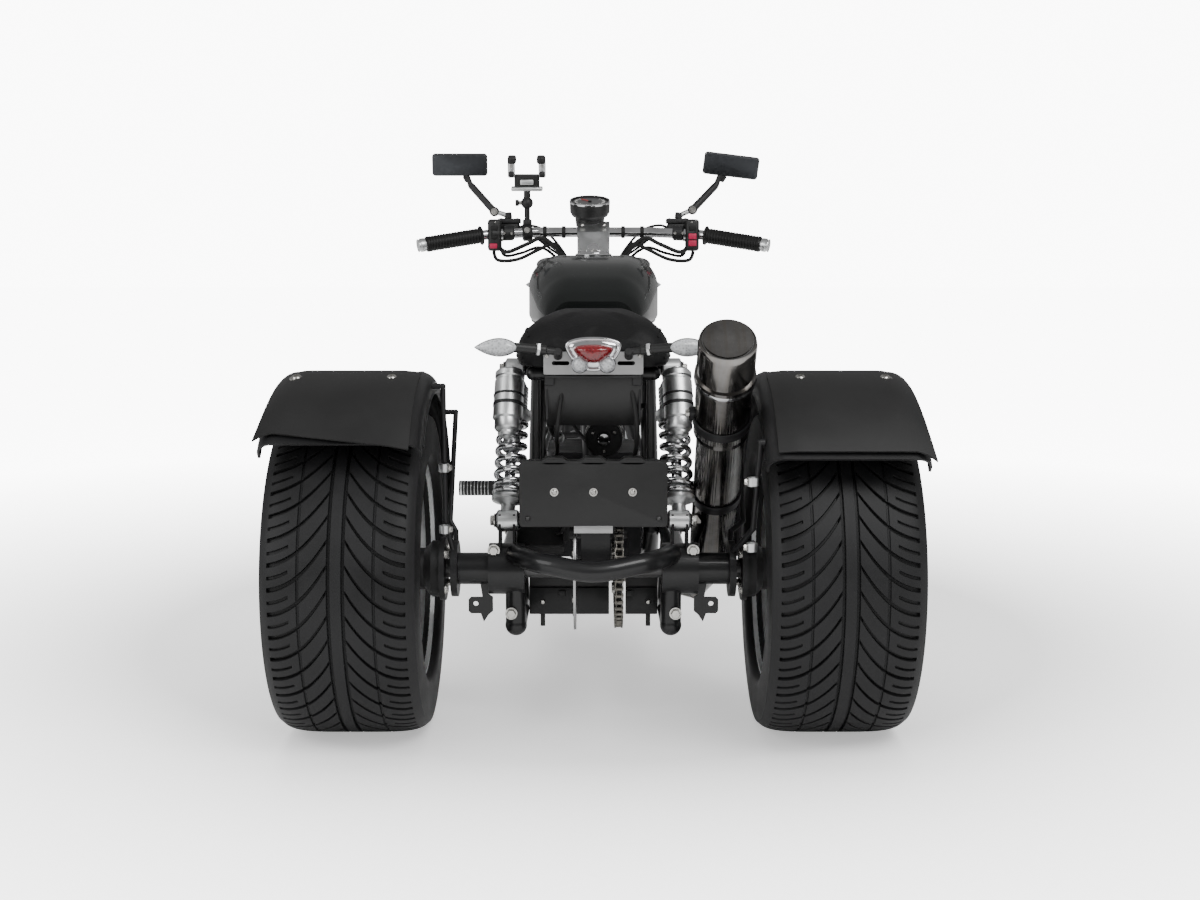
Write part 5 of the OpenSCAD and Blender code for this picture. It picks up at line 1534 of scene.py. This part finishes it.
clamp_bits = Piece("clamp_bolts", "steering", "cast_alloy")
for z in (436, 594):
    for x in (66, 138):
        clamp_bits.screws(0.0055, 0.006, fork(x if x < 100 else 126, -14, z), -BACK_FORK)
clamp_bits.add(lathe([(0.001, 0), (0.019, 0), (0.019, 0.008), (0.015, 0.011), (0.001, 0.011)], 6), "chrome",
        fork(0, 35, 604), UP_FORK)
clamp_bits.build()

lamp = Piece("headlight_detail", "steering", "gloss_black")
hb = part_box("headlight")
L = Vector((0, hb[0].y, fork(0, -60, 500).z))
bowl = [(0.0735, 0.01), (0.074, 0.016), (0.0725, 0.03), (0.064, 0.052), (0.046, 0.068), (0.024, 0.075),
        (0.001, 0.076)]
lamp.add(lathe([(0.001, 0.012), (0.066, 0.012)] + bowl, 72), "gloss", L, TO_REAR)
lamp.add(lathe([(0.0655, 0.004), (0.067, 0.0005), (0.0715, 0.0), (0.074, 0.004), (0.0742, 0.012),
        (0.073, 0.016), (0.066, 0.016)], 72, True), "chrome", L, TO_REAR)
lamp.add(lathe([(0.0665, 0.0075), (0.05, 0.0035), (0.03, 0.0008), (0.012, 0.0002), (0.0005, 0.0)], 72),
        "lamp_glass", L + Vector((0, 0.0015, 0)), TO_REAR)
for s in (1, -1):
    lamp.add(rod((s * 0.074, L.y + 0.032, L.z), (s * 0.086, L.y + 0.032, L.z), 0.009, 24), "satin")
    lamp.bolt(0.007, 0.006, (s * 0.084, L.y + 0.032, L.z), (s, 0, 0))
    lamp.add(sweep([Vector((s * 0.08, L.y + 0.032, L.z)), Vector((s * 0.088, L.y + 0.07, L.z)),
            fork(s * 84, 2, 500)], 0.0065, 12), "satin")
lamp.build("headlight")

signals_front = Piece("front_signals_detail", "steering", "clear_lens")
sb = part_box("front_signals")
cz, cy = (sb[0].z + sb[1].z) / 2, (sb[0].y + sb[1].y) / 2
tip = 0.158
for s in (1, -1):
    signals_front.add(leaf(0.05, 0.026, 0.022), "clear_lens", (tip - 0.05, cy, cz), side=s)
    signals_front.add(rod((0.104, fork(0, 0, 542).y, cz), (tip - 0.044, cy, cz), 0.006, 16), "plastic", side=s)
    signals_front.add(rod((tip - 0.05, cy, cz), (tip - 0.04, cy, cz), 0.008, 20), "plastic", side=s)
    signals_front.add(ring(0.018, 0.0235, 0.016, 36), "satin", fork(102, 0, 534), UP_FORK, side=s)
signals_front.build("front_signals")

front_bits = Piece("front_fender_trim", "steering", "satin_black")
for x in (73.5, -73.5):
    path = [FRONT + from_axle(x * MM, 0.2655, a) for a in np.linspace(-30, 84, 50)]
    front_bits.add(sweep(path, 0.0026, 8), "satin")
for a in (-6, 14):
    front_bits.screws(0.0058, 0.004, FRONT + from_axle(0.052, 0.2675, a), from_axle(0, 1, a))
for y, z in ((66, 44), (66, 84)):
    front_bits.bolt(0.0065, 0.006, fork(84, y, z), TO_LEFT)
front_bits.build()

cables = Piece("control_cables", "steering", "cable_rubber")
for offset, r in (((0, 0, 0), 0.004), ((2, 10, -7), 0.0028)):
    points = ((163, -30, 2), (135, -34, 0), (100, -26, -26), (66, 0, -52), (52, -10, -90), (50, -34, -130))
    route = [bar(*p) + Vector(offset) * MM for p in points]
    cables.both(sweep(smooth_path(route, 8), r, 12), "rubber")
for r, points in (
        (0.0034, [(207, 18, -30), (196, 14, -52), (160, 4, -46), (118, -4, -34), (80, -14, -60),
                (44, -30, -110)]),
        (0.003, [(176, -30, 4), (150, -44, 16), (110, -52, 4), (70, -46, -40), (40, -60, -96)]),
        (0.0048, [(210, 16, -34), (190, 26, -44), (150, 24, -28), (112, 16, -14), (76, 8, -44), (52, -20, -84),
                  (42, -40, -120)]),
        (0.004, [(222, 10, -42), (212, 8, -62), (168, 10, -60), (120, 16, -38), (88, 6, -26), (60, -8, -60),
                  (46, -40, -130)])):
    cables.both(sweep(smooth_path([bar(*p) for p in points], 8), r, 10), "rubber")
cables.both(rod(bar(164, -30, 2), bar(152, -31.5, 1.2), 0.0058, 16), "rubber")
for x in (62, 104):
    cables.both(ring(0.0108, 0.0135, 0.008, 28, 0.0005), "rubber", bar(x, 0, 0), TO_LEFT)
cables.build("cables")

# ------------------------------------------------------------------ engine, intake and small parts of the frame
covers = Piece("engine_covers", "frame", "engine_alloy")
for s, y, z, r in ((1, 0.128, 0.292, 0.066), (-1, 0.138, 0.29, 0.058)):
    x = s * 0.0885
    covers.add(lathe([(r, 0), (r, 0.006), (r - 0.004, 0.01), (r * 0.62, 0.0125), (r * 0.55, 0.009),
            (r * 0.2, 0.009), (r * 0.18, 0.0115), (0.001, 0.012)], 64), "case", (x, y, z), (s, 0, 0))
    for a in turns(7, 0.2):
        covers.screw(0.0044, 0.0035, (x + s * 0.007, y + (r - 0.006) * cos(a), z + (r - 0.006) * sin(a)),
                (s, 0, 0))
covers.both(block((0.01, 0.085, 0.06), 0.004), "dark_cast", (0.0885, 0.235, 0.318))
axis = Vector((0, -cos(radians(10)), sin(radians(10))))
root = Vector((0, 0.061, 0.33))
for k in range(9):
    at = root + axis * (0.012 + 0.0098 * k)
    covers.add(slab(rounded_outline(0.122, 0.122, 0.03), 0.0022, 0.0007), "alloy", at, axis)
covers.add(lathe([(0.001, 0), (0.011, 0), (0.011, 0.012), (0.007, 0.014), (0.007, 0.034), (0.001, 0.036)], 6),
        "steel", root + axis * 0.085 + Vector((0.056, 0, 0.004)), (1, -0.25, 0))
covers.add(sweep(smooth_path([root + axis * 0.085 + Vector((0.09, -0.008, 0.004)),
        root + axis * 0.09 + Vector((0.104, 0.02, 0.05)), Vector((0.06, 0.05, 0.5)), Vector((0.026, 0.1,
        0.575))], 8), 0.0036, 10), "rubber")
covers.build()

intake = Piece("air_filter_detail", "frame", "black_plastic")
centre = Vector((-0.018, 0.503, 0.462))
pleats = [(0.03 * (1 - 0.05 * (k % 2)), 2 * pi * k / 72) for k in range(72)]
intake.add(tube([[(r * cos(a), r * sin(a), z) for r, a in pleats] for z in (0.0, 0.044)]), "rubber",
        centre + Vector((0, 0.002, 0)), TO_REAR)
intake.add(lathe([(0.001, 0), (0.0318, 0), (0.0322, 0.002), (0.0322, 0.009), (0.029, 0.0125), (0.012, 0.0128),
        (0.011, 0.011), (0.001, 0.011)], 48), "plastic", centre + Vector((0, 0.0405, 0)), TO_REAR)
intake.add(lathe([(0.001, 0), (0.0105, 0), (0.011, 0.002), (0.009, 0.004), (0.001, 0.0044)], 32), "chrome",
        centre + Vector((0, 0.0515, 0)), TO_REAR)
for a in turns(3, 0.5):
    intake.screw(0.003, 0.002, centre + Vector((0.0215 * cos(a), 0.053, 0.0215 * sin(a))), TO_REAR)
intake.add(ring(0.0322, 0.0335, 0.007, 48, 0.0004), "steel", centre + Vector((0, 0.003, 0)), TO_REAR)
intake.build()

hoses = Piece("hoses_and_wires", "frame", "cable_rubber")
for points, r in (
        ([(0.074, 0.64, 0.565), (0.07, 0.69, 0.5), (0.062, 0.56, 0.47), (0.03, 0.43, 0.455)], 0.0055),
        ([(0.05, 0.745, 0.56), (0.058, 0.752, 0.5), (0.06, 0.7, 0.455), (0.074, 0.62, 0.43)], 0.0035),
        ([(-0.06, 0.745, 0.57), (-0.07, 0.748, 0.5), (-0.064, 0.7, 0.44), (-0.05, 0.6, 0.43)], 0.004),
        ([(-0.084, 0.56, 0.52), (-0.07, 0.5, 0.5), (-0.045, 0.4, 0.47), (-0.02, 0.3, 0.44)], 0.0045),
        ([(0.02, 0.262, 0.575), (0.045, 0.3, 0.52), (0.04, 0.34, 0.47), (0.014, 0.39, 0.44)], 0.0038),
        ([(0.06, 0.56, 0.3), (0.066, 0.64, 0.31), (0.052, 0.73, 0.33), (0.046, 0.786, 0.35)], 0.003)):
    hoses.add(sweep(smooth_path(points, 10), r, 12), "rubber")
hoses.add(lathe([(0.001, 0), (0.008, 0), (0.009, 0.003), (0.009, 0.012), (0.006, 0.015), (0.001, 0.016)], 28),
        "silver", (0.058, 0.545, 0.463), (0.2, 1, 0.2))
hoses.build()

frame_bits = Piece("frame_bolts", "frame", "black_frame")
for s in (1, -1):
    for x, dy, z in ((134, 10, 196), (162, -8, 265), (162, 8, 300)):
        frame_bits.bolt(0.008, 0.007, (s * x * MM, REAR.y + (dy + 20) * MM, z * MM), TO_REAR)
    frame_bits.bolt(0.012, 0.01, (s * 0.165, REAR.y - 0.395, 0.268), (s, 0, 0))
    frame_bits.add(lathe([(0.013, 0), (0.017, 0.001), (0.017, 0.006), (0.013, 0.007)], 32), "dark_cast",
            (s * 0.183, REAR.y, REAR.z), (s, 0, 0))
for x in (-94, 87):
    frame_bits.screw(0.0045, 0.003, (x * MM, REAR.y - 0.11, 0.185), TO_REAR)
frame_bits.build()

guard = Piece("mudguard_sheet", "frame", "black_plastic")
rows = []
for k in range(13):
    a = radians(34 * k / 12)
    rows.append([Vector((x * MM, REAR.y + 0.047 - 0.17 * (1 - cos(a)), 0.587 - 0.15 * sin(a)))
            for x in np.linspace(-76, 76, 13)])
guard.add(skin([r[::-1] for r in rows], 0.003), "plastic")
guard.add(block((0.152, 0.1, 0.004), 0.001), "plastic", (0, REAR.y + 0.004, 0.5845))
for s in (1, -1):
    guard.add(block((0.004, 0.014, 0.07), 0.001), "satin", (s * 0.074, REAR.y + 0.038, 0.55))
guard.build("mudguard")

cross = Piece("cross_tube_detail", "frame", "black_frame")
bow = [rear(-126, 34, 296), rear(-104, 84, 296), rear(-70, 112, 293), rear(0, 126, 284), rear(70, 112, 293),
        rear(104, 84, 296), rear(126, 34, 296)]
cross.add(sweep(smooth_path(bow, 10), 0.0165, 28), "frame")
for x0, x1 in ((-110, -55), (-27, 110)):
    cross.add(block(((x1 - x0) * MM, 0.005, 0.047), 0.0012), "satin", rear((x0 + x1) / 2, -112.5, 186.5))
    cross.add(block(((x1 - x0) * MM, 0.004, 0.048), 0.0012), "plastic", rear((x0 + x1) / 2, -116, 232))
for x in (-94, 87):
    cross.add(block((0.008, 0.003, 0.022), 0.0008), "satin", rear(x, -112.5, 153))
for x in (-62, 54):
    cross.add(block((0.012, 0.006, 0.01), 0.001), "dark_cast", rear(x, -109, 200))
cross.build("rear_cross_tube")


# ------------------------------------------------------------------ kept CAD nodes, stage and camera
KEPT = {  # finish: the CAD nodes that stay as they are
    "frame": "main_frame down_tubes seat_rails swing_arm tow_tabs",
    "satin": "fender_left fender_right fender_stays front_fender",
    "plastic": "air_filter battery_box",
    "dark_cast": "rear_caliper front_caliper",
    "exhaust": "exhaust_pipe muffler",
    "alloy": "cylinder_head fork_clamps",
    "silver": "bar_riser",
    "case": "engine",
    "rubber": "foot_pegs",
}
for finish, nodes in KEPT.items():
    for node in nodes.split():
        finish_node(node, finish)


def softbox(name, at, aim, energy, size):
    """A rectangular lamp at a point, aimed at another."""
    data = bpy.data.lights.new(name, "AREA")
    data.energy = energy
    data.shape = "RECTANGLE"
    data.size, data.size_y = size
    obj = bpy.data.objects.new(name, data)
    obj.location = at
    obj.rotation_euler = (Vector(aim) - Vector(at)).to_track_quat("-Z", "Y").to_euler()
    bpy.context.scene.collection.objects.link(obj)
    return obj


def floor_plane():
    """A wide floor at z = 0."""
    size = 40
    mesh = bpy.data.meshes.new("studio_floor")
    mesh.from_pydata([(-size, -size, 0), (size, -size, 0), (size, size, 0), (-size, size, 0)], [],
            [(0, 1, 2, 3)])
    mesh.materials.append(M["floor"])
    obj = bpy.data.objects.new("studio_floor", mesh)
    bpy.context.scene.collection.objects.link(obj)
    return obj


def studio_world(seen, lit, mirrored_in):
    """White to the camera, softer as light and darker in reflections, so black paint stays black."""
    made = bpy.data.worlds.new("studio")
    made.use_nodes = True
    tree = made.node_tree
    path = tree.nodes.new("ShaderNodeLightPath")

    def choose(test, off, on):
        node = tree.nodes.new("ShaderNodeMix")
        tree.links.new(path.outputs[test], node.inputs[0])
        for socket, value in ((node.inputs[2], off), (node.inputs[3], on)):
            if isinstance(value, float):
                socket.default_value = value
            else:
                tree.links.new(value, socket)
        return node.outputs[0]

    strength = choose("Is Camera Ray", choose("Is Glossy Ray", lit, mirrored_in), seen)
    tree.links.new(strength, tree.nodes["Background"].inputs["Strength"])
    tree.nodes["Background"].inputs["Color"].default_value = (1, 1, 1, 1)
    return made


bpy.context.scene.world = studio_world(10.0, 0.8, 0.3)
lights = [softbox("key_softbox", (-1.6, 3.0, 3.2), (0, 0.3, 0.5), 95, (2.2, 1.6)),
          softbox("fill_softbox", (2.4, 2.6, 1.8), (0, 0.3, 0.5), 45, (1.8, 1.8)),
          softbox("top_softbox", (0, 0.0, 3.6), (0, 0.2, 0.4), 70, (3.0, 3.0)),
          softbox("front_softbox", (0.6, -3.4, 2.4), (0, 0, 0.5), 60, (2.4, 1.8))]
for soft in lights[2:]:
    soft.visible_glossy = False
floor_plane()

camera_data = bpy.data.cameras.new("camera")
camera_data.lens = 47.4
camera_data.sensor_width = 36.0
camera = bpy.data.objects.new("camera", camera_data)
camera.location = (0.0, 3.26, 0.77)
camera.rotation_euler = (radians(90 - 7.2), 0, radians(180))
camera_data.shift_x = 0.0055
camera_data.shift_y = 0.007
bpy.context.scene.collection.objects.link(camera)
bpy.context.scene.camera = camera
